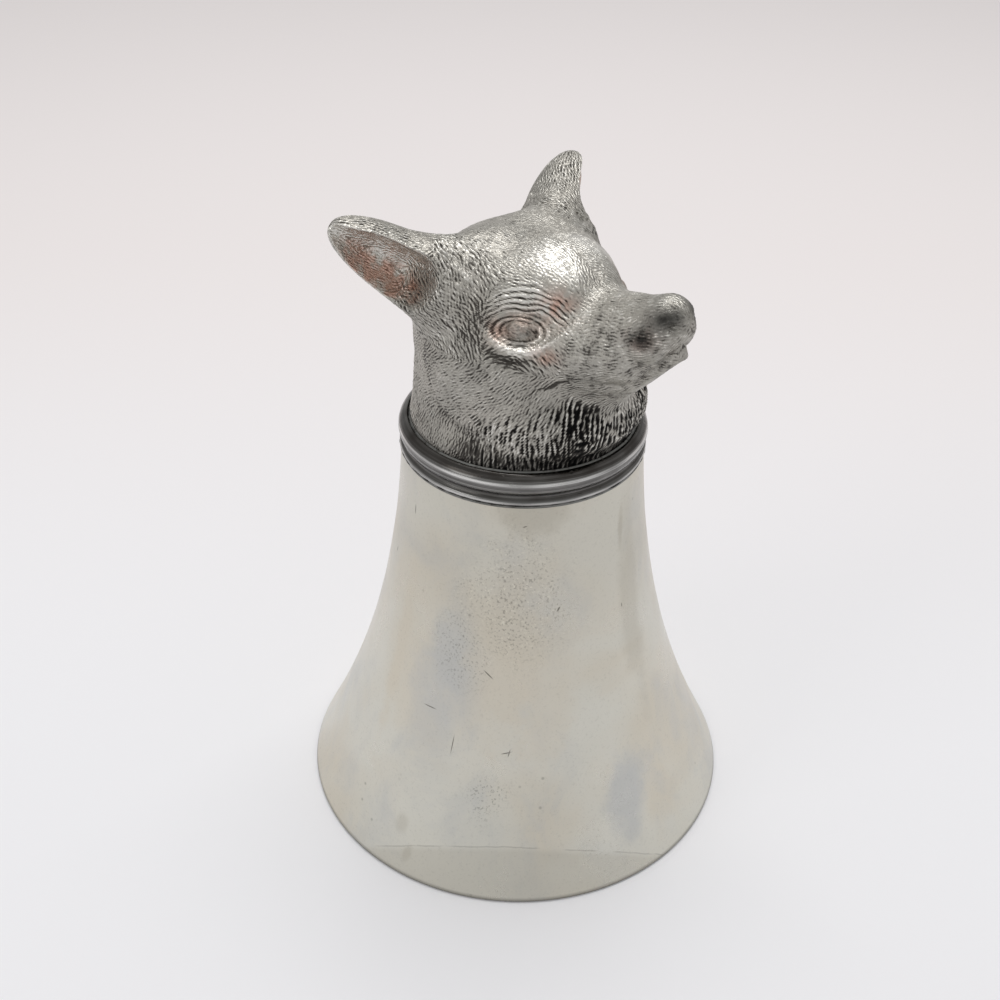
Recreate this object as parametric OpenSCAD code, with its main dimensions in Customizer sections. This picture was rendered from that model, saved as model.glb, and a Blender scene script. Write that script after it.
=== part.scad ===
// Stirrup cup: a flared spun cup that stands on its mouth, a soldered collar
// and a hollow cast fox head with two cast ears. Millimetres, +Z up.
// Origin: centre of the mouth, on the table. The fox looks along -Y.

/* [Cup] */
// Outside diameter of the mouth
mouth_d = 75; // [60:0.5:95]
// Height of the shoulder that carries the collar
shoulder_h = 68.4; // [50:0.2:95]
// Wall thickness of the spun cup
cup_wall = 1.4; // [0.8:0.1:2.5]
// Thickness of the closed floor at the narrow end
floor_t = 2; // [1:0.1:3.5]
// How far the shoulder stands out from the fox's neck
shoulder_step = 1.6; // [0.8:0.1:4]
// Height over which the mouth stays nearly upright
lip_rise = 2.2; // [0.5:0.1:8]
// How far the flare's upper handle stands out from the shoulder
waist_out = 1.8; // [0:0.1:6]
// Height of the flare's upper handle
waist_h = 28; // [15:0.5:40]
// Inside corner radius at the floor
floor_fillet = 3; // [1:0.1:6]
// Edge rounding of the mouth
lip_round = 0.4; // [0.1:0.05:0.6]

/* [Collar] */
// Height from the shoulder to the neck's seat
collar_h = 4.6; // [3:0.1:8]
// Radius of the half-round bead
bead_r = 2.05; // [1.2:0.05:3]
// How far the bead stands out from the shoulder
bead_out = 0.4; // [0.1:0.05:2]
// How far the lower fillet stands out from the shoulder
ridge_out = 0.3; // [0.1:0.05:1.5]
// Height of the lower fillet
ridge_h = 0.9; // [0.4:0.1:1.4]
// Width of the groove round the neck's foot
seat_groove = 0.5; // [0.3:0.05:1.2]
// Step from the neck down to the cup's spigot
spigot_step = 0.6; // [0.3:0.05:1.5]
// Gap left between soldered pieces
fit = 0.05; // [0.02:0.01:0.15]

/* [Neck and skull] */
// Diameter of the neck at its foot
neck_d = 35.8; // [30:0.2:42]
// Radius of the neck under the jaw
nape_r = 15.7; // [13:0.1:18]
// Height of the neck's round
nape_h = 12.7; // [9:0.1:16]
// Wall of the hollow casting
head_wall = 2.6; // [1.6:0.1:4]
// Height of the middle of the skull above the neck's foot
skull_h = 20; // [16:0.1:24]
// Half width of the skull
skull_w = 13.6; // [11:0.1:16]
// Half height of the skull
skull_t = 10.4; // [8:0.1:13]
// Half width of the forehead
forehead_w = 8.7; // [6:0.1:11]
// Height of the forehead's middle
forehead_h = 22.5; // [19:0.1:26]
// Half width of the cheek ruff at its widest
ruff_w = 15.8; // [13:0.1:18.5]
// Height of the cheek ruff's middle
ruff_h = 14.3; // [11:0.1:17]
// Reach of the chest fur in front of the axis
chest_reach = 20; // [17:0.1:22]

/* [Muzzle] */
// Reach of the muzzle's end in front of the axis
muzzle_reach = 27.2; // [22:0.1:32]
// Height of the muzzle's end
muzzle_h = 25.9; // [21:0.1:30]
// Radius of the muzzle's end
muzzle_r = 3.55; // [2.5:0.05:5]
// Reach of the chin in front of the axis
chin_reach = 29.6; // [24:0.1:32]
// Height of the chin
chin_h = 22.9; // [18:0.1:26]
// Radius of the chin
chin_r = 1.6; // [1.2:0.05:3]
// Width of the nose leather
nose_w = 4.8; // [3.5:0.1:8]
// Depth of the mouth line
mouth_cut = 0.7; // [0.2:0.05:1.2]
// Depth of the nostrils
nostril_cut = 0.8; // [0.2:0.05:1.2]

/* [Eyes] */
// Forward place of the eyes
eye_reach = 9.6; // [7:0.1:12]
// Height of the eyes
eye_h = 22; // [18:0.1:25]
// Sideways place of the eyes
eye_side = 10.6; // [8:0.1:13]
// Radius of the eyeball
eye_r = 2.7; // [1.8:0.05:3.5]
// Depth of the socket round the eyeball
socket_cut = 1.1; // [0.3:0.05:1.8]

/* [Ears] */
// Height of the ear's seat above its root in the skull
ear_root = 3; // [1.5:0.1:5]
// Length of the right ear from its root
right_ear_len = 19.4; // [12:0.1:24]
// Length of the left ear from its root
left_ear_len = 17.6; // [12:0.1:24]
// Half width of an ear at its root
ear_w = 5.4; // [3.4:0.1:8]
// Half thickness of an ear at its root
ear_t = 6.4; // [1.6:0.1:8]
// How far an ear bows backwards
ear_bow = 0.6; // [0:0.1:3]
// Depth of the ear's open face, in half thicknesses
ear_scoop = 0.35; // [0.1:0.05:0.6]

/* [Mesh] */
// Points round the head
head_around = 72; // [32:4:80]
// Sections along the head
head_along = 58; // [32:1:66]
// Points round an ear
ear_around = 36; // [16:2:40]
// Sections along an ear
ear_along = 16; // [8:1:20]

/* [Hidden] */
$fn = 96;

// Radii and levels that mating pieces share
neck_r = neck_d / 2;
shoulder_r = neck_r + shoulder_step;
spigot_r = neck_r - spigot_step;
groove_r = neck_r + seat_groove;
seat_z = shoulder_h + collar_h;
mouth_r = mouth_d / 2;
bead_c = shoulder_r + bead_out - bead_r;
bead_z = seat_z - bead_r * 0.72;
bead_top = bead_z + sqrt(pow(bead_r, 2) - pow(groove_r - bead_c, 2));
ridge_r = shoulder_r + ridge_out;

// Head points are written [forward, side, up] from the middle of the neck's foot
pivot = [25, 4];
turn = 72;
reach_low = 25;
reach_high = 17.5;
nose_aim = [4, 1.4];
ear_seat = [-5.2, 11.7, 22.9];
ear_dir = [-8, 11.4, 9.7] / norm([-8, 11.4, 9.7]);
ear_across = let (w = [-0.33, 0.47, -0.82], v = w - ear_dir * (w * ear_dir)) v / norm(v);
ear_face = cross(ear_across, ear_dir);
eye_out = [0.48, 0.7, 0.53] / norm([0.48, 0.7, 0.53]);
eye_along = let (w = [0.82, -0.56, 0], v = w - eye_out * (w * eye_out)) v / norm(v);
eye_up = cross(eye_along, eye_out);
foot_h = 0.7;
hollow_end = 0.42;
hollow_back = 2.5;
blend_h = 3.5;

// Whole numbers of points and sections
head_points = 4 * round(head_around / 4);
head_rows = round(head_along);
ear_points = 2 * round(ear_around / 2);
ear_rows = round(ear_along);

// Smooth joining and cutting of two distances
function joined(a, b, k) =
    let (h = max(k - abs(a - b), 0) / k)
    min(a, b) - h * h * k / 4;
function trimmed(a, b, k) = -joined(-a, -b, k);

// Distance to an ellipsoid, and to a round-ended cone
function egg(p, c, r) =
    let (u = [(p.x - c.x) / r.x, (p.y - c.y) / r.y, (p.z - c.z) / r.z],
         g = norm([u.x / r.x, u.y / r.y, u.z / r.z]) + 1e-6,
         k = norm(u))
    k * (k - 1) / g;
function stick(p, a, b, ra, rb) =
    let (ab = b - a,
         t = min(max((p - a) * ab / (ab * ab), 0), 1))
    norm(p - a - t * ab) - ra - (rb - ra) * t;

// Neck and skull alone, which the hollow inside follows
function skull(p) =
    let (neck = stick(p, [0, 0, 0], [-2, 0, nape_h], neck_r, nape_r),
         top = egg(p, [-2.5, 0, skull_h], [12, skull_w, skull_t]),
         chest = egg(p, [chest_reach - 10.3, 0, 5.9], [10.3, 13.6, 9]),
         brow = egg(p, [6.6, 0, forehead_h], [8.4, forehead_w, 8.8]),
         ruff = egg(p, [2.4, ruff_w - 8.2, ruff_h], [9.7, 8.2, 9]),
         a = joined(neck, top, 6),
         b = joined(joined(a, chest, 4), brow, 4))
    joined(b, ruff, 5);

// Ear roots, muzzle, jaw, lips, whisker pads, brows and nose added to the skull
function face(p) =
    let (root = stick(p, [-3.5, 5.5, skull_h + 7], [-6.5, 13, skull_h + 7.8], 2.8, 2.8),
         muzzle = stick(p, [11, 0, 18.7], [muzzle_reach, 0, muzzle_h], 6.9, muzzle_r),
         jaw = stick(p, [12, 0, 12], [chin_reach, 0, chin_h], 7, chin_r),
         lip = stick(p, [6, 6.6, 15.5], [21, 3.4, 20], 6, 3.6),
         pad = egg(p, [muzzle_reach - 2.2, 2.3, muzzle_h - 2.3], [4.4, 2.9, 3.2]),
         brow = stick(p, [11.4, 2.8, 26.2], [2, 7.8, 26.4], 1.7, 1.4),
         nose = egg(p, [muzzle_reach + 0.4, 0, muzzle_h + 0.9], [2.3, nose_w / 2, 2.4]),
         a = joined(joined(joined(skull(p), root, 4.5), muzzle, 4), jaw, 2.5),
         b = joined(joined(a, lip, 4), pad, 1.4))
    joined(joined(b, brow, 4.5), nose, 3);

// Half width, half thickness and bow at a height along an ear of length l
function ear_half_w(h, l) =
    let (t = min(max(h / l, 0), 0.999))
    (ear_w * sqrt(1 - pow(t, 3.2)) * (1 - 0.25 * t) + 0.3) * min(max(1 + h / 8, 0.25), 1);
function ear_half_t(h, l) =
    let (t = min(max(h / l, 0), 0.999))
    (ear_t * sqrt(1 - pow(t, 4)) * (1 - 0.4 * t) + 0.3) * min(max(1 + h / 8, 0.25), 1);
function ear_back(h, l) = ear_bow * sin(180 * min(max(h / l, 0), 1));
function eased(x) = let (t = min(max(x, 0), 1)) t * t * (3 - 2 * t);

// Level of an ear's open face in half thicknesses, v half widths from the middle: a trough
// that leaves a broad upper rim, and closes at the root and towards the tip
function ear_floor(v, h, l) =
    1.3 * pow(v - 0.08, 2) - ear_scoop
    + 0.011 * pow(max(ear_root + 5 - h, 0), 3) + 0.5 * eased((h / l - 0.6) / 0.4);

// Ear body, the height above its open face and the softness of that face's edge
function ear(p, l) =
    let (e = p - ear_seat,
         h = e * ear_dir,
         w = ear_half_w(h, l),
         t = ear_half_t(h, l),
         x = e * ear_across,
         y = e * ear_face + ear_back(h, l),
         k = norm([x / w, y / t]) + 1e-6,
         g = norm([x / (w * w), y / (t * t)]) + 1e-6)
    [max(k * (k - 1) / g, h - l, -h - 6),
     y - t * ear_floor(x / w, h, l),
     0.6 + 2 * eased((ear_root + 6 - h) / 5)];

// Start and direction of the ray to an ear's skin at angle a. It leaves midway between the
// ear's back and its open face, towards the ellipse that the ear is cut from.
function ear_ray(a, h, l) =
    let (w = ear_half_w(h, l),
         t = ear_half_t(h, l),
         v = 0.7 * cos(a),
         back = sqrt(1 - v * v),
         y = t * (min(ear_floor(v, h, l), back) - back) / 2,
         d = ear_across * (0.3 * w * cos(a)) + ear_face * (t * sin(a) - y))
    [ear_seat + ear_dir * h + ear_across * (w * v) + ear_face * (y - ear_back(h, l)), d / norm(d)];

// Head and ears as one smooth form, before it is parted at the ear seats
function form(p, l) =
    (p - ear_seat) * ear_dir < -9.5 ? face(p) :
    let (e = ear(p, l))
    trimmed(joined(face(p), e[0], 3.4), e[1], e[2]);

// Eyes sunk into the form
function eyed(p, l) =
    p.x < 1 || p.x > 18 || p.z < 14 ? form(p, l) :
    let (e = p - [eye_reach, eye_side, eye_h],
         x = e * eye_along,
         y = e * eye_up,
         w = e * eye_out,
         k = pow(x / 4.6, 2) + pow((y - 0.12 * x) / 2.9, 2),
         socket = socket_cut * exp(-pow(k, 1.3)) * exp(-pow(w / 5, 2)),
         ball = norm([x, y, w + eye_r * 0.85]) - eye_r)
    joined(form(p, l) + socket, ball, 0.4);

// Mouth line and nostrils cut into the muzzle
function carved(p, l) =
    p.x < 15 ? eyed(p, l) :
    let (d = p.x - chin_reach + 5.4,
         m = chin_h - 7.2 + 0.65 * (d + sqrt(d * d + 1)),
         gate = (0.6 + 0.8 * eased((p.x - 28) / 2.5)) / (1 + exp((20 - p.x) * 1.2)),
         mouth = mouth_cut * exp(-pow((p.z - m) / 0.7, 2)) * gate,
         n = [(p.x - muzzle_reach - 2.2) / 1.3, (p.y - nose_w * 0.41) / 0.8, (p.z - muzzle_h - 1.1) / 0.7],
         nostril = nostril_cut * exp(-n * n))
    eyed(p, l) + mouth + nostril;

// Distance to the head casting: the carved form, cut flat at both ear seats
function casting(p) =
    let (q = [p.x, abs(p.y), p.z])
    max(carved(q, p.y < 0 ? right_ear_len : left_ear_len), (q - ear_seat) * ear_dir - ear_root);
function hollow(p) = skull([p.x, abs(p.y), p.z]) + head_wall;

// First crossing of a surface on a ray, by marching out and then halving
function reached(kind, p) =
    kind == "casting" ? casting(p) : kind == "hollow" ? hollow(p) :
    form(p, kind == "right" ? right_ear_len : left_ear_len);
function march(kind, c, d, last, r) =
    let (v = reached(kind, c + d * r))
    v > 0 || r > 60 ? [last, r] : march(kind, c, d, r, r + max(0.3, -0.8 * v));
function halve(kind, c, d, lo, hi, n) =
    n == 0 ? (lo + hi) / 2 :
    let (m = (lo + hi) / 2)
    reached(kind, c + d * m) > 0 ? halve(kind, c, d, lo, m, n - 1) : halve(kind, c, d, m, hi, n - 1);
function hit(kind, c, d) =
    let (r = march(kind, c, d, 0, 0.1))
    halve(kind, c, d, r[0], r[1], 8);

// Place of the nose's tip on the casting, as [forward, up]
muzzle_mid = pivot + [-cos(turn), sin(turn)] * reach_high;
nose_dir = let (v = [muzzle_reach, muzzle_h] + nose_aim - muzzle_mid) v / norm(v);
nose_tip = muzzle_mid
    + nose_dir * hit("casting", [muzzle_mid.x, 0, muzzle_mid.y], [nose_dir.x, 0, nose_dir.y]);

// Middle of a section plane and its upward direction, as [forward, up] pairs
function plane(s, back = 0) =
    s <= 0.07 ? [[0, pivot.y * s / 0.07], [-1, 0]] :
    s <= 0.68 ? let (k = (s - 0.07) / 0.61, u = [-cos(turn * k), sin(turn * k)])
        [pivot + u * (reach_low + back * k + (reach_high - reach_low) * k), u] :
    [muzzle_mid + (nose_tip - muzzle_mid) * sin(90 * (s - 0.68) / 0.32), [-cos(turn), sin(turn)]];

// Ring of points on one section; the neck's foot is an exact round
function ring(kind, s, m, foot_r) =
    let (q = plane(s, kind == "hollow" ? hollow_back : 0),
         c = [q[0].x, 0, q[0].y],
         b = max(min((c.z - foot_h) / blend_h, 1), 0),
         k = q[1].y > 0 ? 1 : b * b * (3 - 2 * b))
    [for (j = [0:m - 1])
        let (a = 360 * j / m,
             d = [q[1].x * cos(a), sin(a), q[1].y * cos(a)],
             r = k == 0 ? foot_r : foot_r + (hit(kind, c, d) - foot_r) * k)
        c + d * (k == 1 ? hit(kind, c, d) : r)];

// Triangles between two rings of m points, the first starting at index o
function band(o, m, out) =
    [for (j = [0:m - 1])
        let (a = o + j, b = o + (j + 1) % m, c = b + m, d = a + m)
        each out ? [[a, b, c], [a, c, d]] : [[a, c, b], [a, d, c]]];
function fan(o, m, tip, out) =
    [for (j = [0:m - 1])
        let (a = o + j, b = o + (j + 1) % m)
        out ? [a, b, tip] : [b, a, tip]];

// Forward, side, up to the part's own axes
function placed(v) = [for (p = v) [p.y, -p.x, p.z]];

// Point on a cubic curve
function bend(a, b, c, d, t) =
    pow(1 - t, 3) * a + 3 * pow(1 - t, 2) * t * b + 3 * (1 - t) * t * t * c + pow(t, 3) * d;
function flare(off) =
    [for (i = [0:24])
        bend([mouth_r - off, lip_round], [mouth_r - off - 0.4, lip_rise],
             [shoulder_r + waist_out - off, waist_h], [shoulder_r - off, shoulder_h], i / 24)];

module cup_bell() {
    outer = flare(0);
    inner = flare(cup_wall);
    top_r = spigot_r - cup_wall;
    floor_z = seat_z - floor_t;
    corner = [for (i = [0:6])
        [top_r - floor_fillet * (1 - sin(15 * i)), floor_z - floor_fillet * (1 - cos(15 * i))]];
    color("silver")
        rotate_extrude()
            polygon(concat(
                [[mouth_r - lip_round, 0]],
                outer,
                [[spigot_r, shoulder_h], [spigot_r, seat_z], [0, seat_z], [0, floor_z]],
                corner,
                [for (i = [23:-1:0]) inner[i]],
                [[mouth_r - cup_wall + lip_round, 0]]));
}

module collar() {
    low = asin(max((shoulder_h + ridge_h + 0.5 - bead_z) / bead_r, -1));
    high = acos((groove_r - bead_c) / bead_r);
    bead = [for (i = [0:14])
        let (a = low + (high - low) * i / 14)
        [bead_c + bead_r * cos(a), bead_z + bead_r * sin(a)]];
    color("lightsteelblue")
        rotate_extrude()
            polygon(concat(
                [[spigot_r + fit, shoulder_h], [ridge_r - 0.1, shoulder_h], [ridge_r, shoulder_h + ridge_h * 0.35],
                 [ridge_r - 0.05, shoulder_h + ridge_h * 0.75], [shoulder_r, shoulder_h + ridge_h]],
                bead,
                [[groove_r, seat_z], [spigot_r + fit, seat_z]]));
}

module collar_solder() {
    leg = ridge_out * 0.8;
    color("dimgray")
        rotate_extrude()
            polygon([[shoulder_r + fit * 0.8, shoulder_h - leg * 2], [shoulder_r + leg, shoulder_h],
                     [shoulder_r + fit * 0.8, shoulder_h]]);
}

module neck_solder() {
    color("dimgray")
        rotate_extrude()
            polygon([[neck_r + fit, seat_z], [groove_r - fit, seat_z],
                     [groove_r - fit, seat_z + min(0.3, bead_top - seat_z)], [neck_r + fit, seat_z + foot_h]]);
}

module head_casting() {
    m = head_points;
    n = head_rows;
    mi = m / 2;
    ni = 16;
    outer = [for (i = [0:n - 2]) each ring("casting", i / (n - 1), m, neck_r)];
    inner = [for (i = [0:ni - 1]) each ring("hollow", hollow_end * i / (ni - 1), mi, neck_r - head_wall)];
    last = plane(hollow_end, hollow_back)[0];
    o = len(outer);
    tip = o + len(inner);
    skin = [for (i = [0:n - 3]) each band(i * m, m, true)];
    nose = fan((n - 2) * m, m, tip, true);
    lining = [for (i = [0:ni - 2]) each band(o + i * mi, mi, false)];
    back = fan(o + (ni - 1) * mi, mi, tip + 1, false);
    foot = [for (j = [0:mi - 1])
        let (a = 2 * j, b = 2 * j + 1, c = (2 * j + 2) % m, d = o + j, e = o + (j + 1) % mi)
        each [[b, a, d], [e, b, d], [c, b, e]]];
    color("gray")
        translate([0, 0, seat_z])
            polyhedron(placed(concat(outer, inner, [[nose_tip.x, 0, nose_tip.y], [last.x, 0, last.y]])),
                       concat(skin, nose, lining, back, foot));
}

// One ear, as a loft from its seat to its tip; side is 1 for left and -1 for right
module ear_piece(side, kind, l) {
    m = ear_points;
    n = ear_rows;
    low = ear_root + fit;
    function middle(h) = ear_seat + ear_dir * h - ear_face * (ear_back(h, l) + ear_half_t(h, l) * 0.4);
    rings = [for (i = [0:n - 2])
        let (h = low + (l - low) * sin(90 * i / (n - 1)))
        each [for (j = [0:m - 1])
            let (r = ear_ray(360 * j / m, h, l))
            r[0] + r[1] * hit(kind, r[0], r[1])]];
    all = concat(rings, [middle(low), middle(l)]);
    k = len(rings);
    flip = side > 0;
    color("darkgray")
        translate([0, 0, seat_z])
            polyhedron(placed([for (p = all) [p.x, p.y * side, p.z]]),
                       concat([for (i = [0:n - 3]) each band(i * m, m, flip)],
                              fan((n - 2) * m, m, k + 1, flip),
                              fan(0, m, k, !flip)));
}
module right_ear() ear_piece(-1, "right", right_ear_len);
module left_ear() ear_piece(1, "left", left_ear_len);

cup_bell();
collar();
collar_solder();
neck_solder();
head_casting();
right_ear();
left_ear();
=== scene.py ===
"""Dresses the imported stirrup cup: spun bell, collar, solder seams, cast fox head and ears.

Shapes are worked out in millimetres and written to the meshes in metres.
The head's points are [forward, side, up] from the middle of the neck's foot;
the part's own axes are [side, -forward, up] above the seat.
"""
import math
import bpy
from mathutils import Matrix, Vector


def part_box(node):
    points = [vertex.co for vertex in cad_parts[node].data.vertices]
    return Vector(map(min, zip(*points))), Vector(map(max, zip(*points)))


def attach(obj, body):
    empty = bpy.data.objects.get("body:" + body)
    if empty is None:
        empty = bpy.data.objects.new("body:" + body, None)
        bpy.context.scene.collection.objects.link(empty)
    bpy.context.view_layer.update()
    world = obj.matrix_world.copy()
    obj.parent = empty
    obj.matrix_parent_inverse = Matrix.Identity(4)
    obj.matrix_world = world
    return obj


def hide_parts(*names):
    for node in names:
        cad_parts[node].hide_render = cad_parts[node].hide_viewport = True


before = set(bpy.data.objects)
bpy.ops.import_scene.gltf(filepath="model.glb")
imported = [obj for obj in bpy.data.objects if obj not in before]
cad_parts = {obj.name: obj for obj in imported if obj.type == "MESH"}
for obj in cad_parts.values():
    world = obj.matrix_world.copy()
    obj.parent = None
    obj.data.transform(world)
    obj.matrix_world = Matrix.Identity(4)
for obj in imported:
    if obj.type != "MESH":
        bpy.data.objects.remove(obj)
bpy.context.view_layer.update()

from types import SimpleNamespace

import bpy
import numpy as np
from bpy.props import FloatProperty, FloatVectorProperty, IntProperty, PointerProperty
from mathutils import Matrix

bl_info = {
    "name": "Stirrup cup",
    "version": (1, 0, 0),
    "blender": (4, 5, 0),
    "location": "View3D > Sidebar > Stirrup cup",
    "description": "Builds a pewter stirrup cup with a fox's head around its CAD frame",
    "category": "Add Mesh",
}

MM = 0.001
_, BELL_HIGH = (np.array(c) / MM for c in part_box("cup_bell"))
COLLAR_LOW, _ = (np.array(c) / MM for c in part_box("collar"))


# Settings

def length(name, text, default):
    """A size, written in millimetres and kept in metres."""
    return FloatProperty(name=name, description=text, default=float(default) * MM, min=0.0,
                         precision=5, unit="LENGTH")


def share(name, text, default):
    """A share from none to all."""
    return FloatProperty(name=name, description=text, default=default, min=0.0, max=2.0, subtype="FACTOR")


def colour(name, text, default):
    """A linear colour."""
    return FloatVectorProperty(name=name, description=text, default=default, size=3,
                               min=0.0, max=1.0, subtype="COLOR")


class CupSizes(bpy.types.PropertyGroup):
    """Sizes of the spun bell and the collar."""
    mouth_r: length("Mouth radius", "Outside radius of the mouth", BELL_HIGH[0])
    seat_z: length("Seat height", "Height of the seat that carries the neck", BELL_HIGH[2])
    shoulder_z: length("Shoulder height", "Height of the shoulder under the collar", COLLAR_LOW[2])
    neck_r: length("Neck radius", "Radius of the neck's foot", 17.9)
    shoulder_step: length("Shoulder step", "How far the shoulder stands out from the neck", 1.6)
    spigot_step: length("Spigot step", "How far the spigot stands back from the neck", 0.6)
    wall: length("Wall", "Thickness of the spun wall", 1.4)
    floor: length("Floor", "Thickness of the closed floor", 2.0)
    fillet: length("Floor fillet", "Inside corner radius at the floor", 3.0)
    lip_rise: length("Lip rise", "Height over which the mouth stays upright", 2.2)
    waist_out: length("Waist", "How far the flare's upper handle stands out", 1.8)
    waist_z: length("Waist height", "Height of the flare's upper handle", 28.0)
    lip_round: length("Lip rounding", "Edge rounding of the mouth", 0.4)
    dent: length("Dents", "Depth of the shallow dents in the bell", 0.06)
    bore_step: length("Collar bore", "How far the collar's bore lies inside the neck's radius", 0.55)
    bead_r: length("Bead radius", "Radius of the collar's half-round bead", 2.05)
    bead_out: length("Bead reach", "How far the bead stands out from the shoulder", 0.4)
    ridge_out: length("Ridge reach", "How far the lower fillet stands out", 0.3)
    ridge_h: length("Ridge height", "Height of the lower fillet", 0.9)
    quirk: length("Quirk", "Height of the groove between fillet and bead", 0.5)
    groove: length("Neck groove", "Width of the groove round the neck's foot", 0.5)
    around: IntProperty(name="Points round", description="Points round a turned piece", default=320, min=64)


class HeadSizes(bpy.types.PropertyGroup):
    """Sizes of the cast head and ears."""
    nape_r: length("Nape radius", "Radius of the neck under the jaw", 15.7)
    nape_h: length("Nape height", "Height of the neck's round", 12.7)
    wall: length("Wall", "Wall of the hollow casting", 2.6)
    skull_h: length("Skull height", "Height of the middle of the skull", 20.0)
    skull_w: length("Skull width", "Half width of the skull", 13.6)
    skull_t: length("Skull depth", "Half height of the skull", 10.4)
    forehead_w: length("Forehead width", "Half width of the forehead", 8.7)
    forehead_h: length("Forehead height", "Height of the forehead's middle", 22.5)
    ruff_w: length("Ruff width", "Half width of the cheek ruff", 15.8)
    ruff_h: length("Ruff height", "Height of the cheek ruff's middle", 14.3)
    chest_reach: length("Chest reach", "Reach of the chest fur", 20.0)
    muzzle_reach: length("Muzzle reach", "Reach of the muzzle's end", 27.2)
    muzzle_h: length("Muzzle height", "Height of the muzzle's end", 25.9)
    muzzle_r: length("Muzzle radius", "Radius of the muzzle's end", 3.55)
    chin_reach: length("Chin reach", "Reach of the chin", 29.6)
    chin_h: length("Chin height", "Height of the chin", 22.9)
    chin_r: length("Chin radius", "Radius of the chin", 1.6)
    nose_w: length("Nose width", "Width of the nose leather", 4.8)
    mouth_cut: length("Mouth line", "Depth of the mouth line", 0.7)
    nostril_cut: length("Nostrils", "Depth of the nostrils", 0.8)
    eye_r: length("Eye radius", "Radius of the eyeball", 2.7)
    socket_cut: length("Eye socket", "Depth of the socket", 1.1)
    ear_root: length("Ear seat", "Height of the ear's seat above its root", 3.0)
    right_ear_len: length("Right ear length", "Length of the right ear from its root", 19.4)
    left_ear_len: length("Left ear length", "Length of the left ear from its root", 17.6)
    ear_w: length("Ear width", "Half width of an ear", 5.4)
    ear_t: length("Ear thickness", "Half thickness of an ear", 6.4)
    ear_bow: length("Ear bow", "How far an ear bows backwards", 0.6)
    ear_scoop: share("Ear scoop", "Depth of the open face in half thicknesses", 0.35)
    fur: share("Fur depth", "Strength of the carved fur", 1.0)
    around: IntProperty(name="Points round", description="Points round the head", default=416, min=64)
    along: IntProperty(name="Sections", description="Sections along the head", default=214, min=64)


class Finishes(bpy.types.PropertyGroup):
    """Colours of the four finishes."""
    bell: colour("Spun pewter", "Clean metal of the bell", (0.67, 0.655, 0.585))
    bell_warm: colour("Yellow stain", "Warm stain on the bell", (0.65, 0.60, 0.50))
    bell_cool: colour("Blue stain", "Cool stain on the bell", (0.53, 0.535, 0.52))
    # Dull stains, darker towards the top, and the painted reflection along the rim
    bell_dull: colour("Dull patch", "Tarnish under the collar and at the rim", (0.455, 0.425, 0.355))
    # Thin dark line at the edge of the rim's painted reflection
    reflection_edge: colour("Tide mark", "Thin line at the edge of the dull rim", (0.25, 0.23, 0.20))
    glint: colour("Glints", "Bright grain among the pits", (0.78, 0.75, 0.64))
    pit: colour("Pits", "Dark metal in pits and scratches", (0.15, 0.14, 0.12))
    # Painted contact shadow at the foot of the mouth, where it stands on the floor
    lip: colour("Lip", "Dark edge of the mouth", (0.10, 0.095, 0.08))
    # Set darker than the bell's metal: partly tarnish, partly a painted reflection of dark surroundings
    collar: colour("Collar pewter", "Polished metal of the collar", (0.27, 0.265, 0.255))
    collar_blot: colour("Collar blots", "Tarnish on the collar", (0.16, 0.155, 0.15))
    collar_line: colour("Collar lines", "Dark turning lines of the collar", (0.07, 0.07, 0.066))
    cast: colour("Cast pewter", "Metal of the head", (0.46, 0.438, 0.395))
    cast_mottle: colour("Cast mottle", "Duller patches of the head", (0.362, 0.35, 0.318))
    # Worn crests, and painted highlights on the head
    crest: colour("Worn crests", "Bright worn tops of the fur", (0.81, 0.79, 0.74))
    # Painted highlight along the middle of the collar's bead, and a lighter line on its lower fillet
    highlight_and_wear_line: colour("Worn line", "Bright line rubbed along the collar", (0.95, 0.94, 0.91))
    # Dark metal: patina in the recesses, and painted shade and dark painted reflections
    patina_and_shade: colour("Patina", "Dark metal in the recesses", (0.036, 0.031, 0.027))
    # Blackest metal: in furrows and nostrils, and a painted reflection at the foot of the chest
    black_and_reflection: colour("Black", "Blackest metal, in furrows and nostrils", (0.008, 0.008, 0.008))
    # Painted warm reflection round the eye and in the ear
    warm_reflection: colour("Warm tint", "Reddish tint round the eye and in the ear", (0.98, 0.68, 0.60))
    solder: colour("Solder", "Dull metal of the seams", (0.20, 0.20, 0.19))


class StageLook(bpy.types.PropertyGroup):
    """Floor, light and camera."""
    floor: colour("Floor", "Colour of the floor", (0.82, 0.815, 0.835))
    far_floor: colour("Far floor", "Colour of the floor far behind the cup", (0.79, 0.745, 0.74))
    glow: share("Floor glow", "Light added to the floor as the camera sees it", 0.05)
    sky: FloatProperty(name="Sky", description="Strength of the surrounding light", default=0.42, min=0.0)
    key: FloatProperty(name="Overhead light", description="Power of the overhead light", default=2.4,
                       min=0.0, unit="POWER")
    side: FloatProperty(name="Side light", description="Power of the side light", default=0.7,
                        min=0.0, unit="POWER")
    lens: FloatProperty(name="Lens", description="Focal length of the camera", default=46.8,
                        min=1.0, unit="CAMERA")


def sizes():
    """The settings of the cup, the head, the finishes and the stage, with lengths in millimetres."""
    found = []
    for key in GROUPS:
        group = getattr(bpy.context.scene, key)
        values = {}
        for prop in group.bl_rna.properties:
            if prop.identifier not in ("rna_type", "name"):
                value = getattr(group, prop.identifier)
                values[prop.identifier] = value / MM if prop.unit == "LENGTH" else value
        found.append(SimpleNamespace(**values))
    return found


# Repeatable noise

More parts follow.
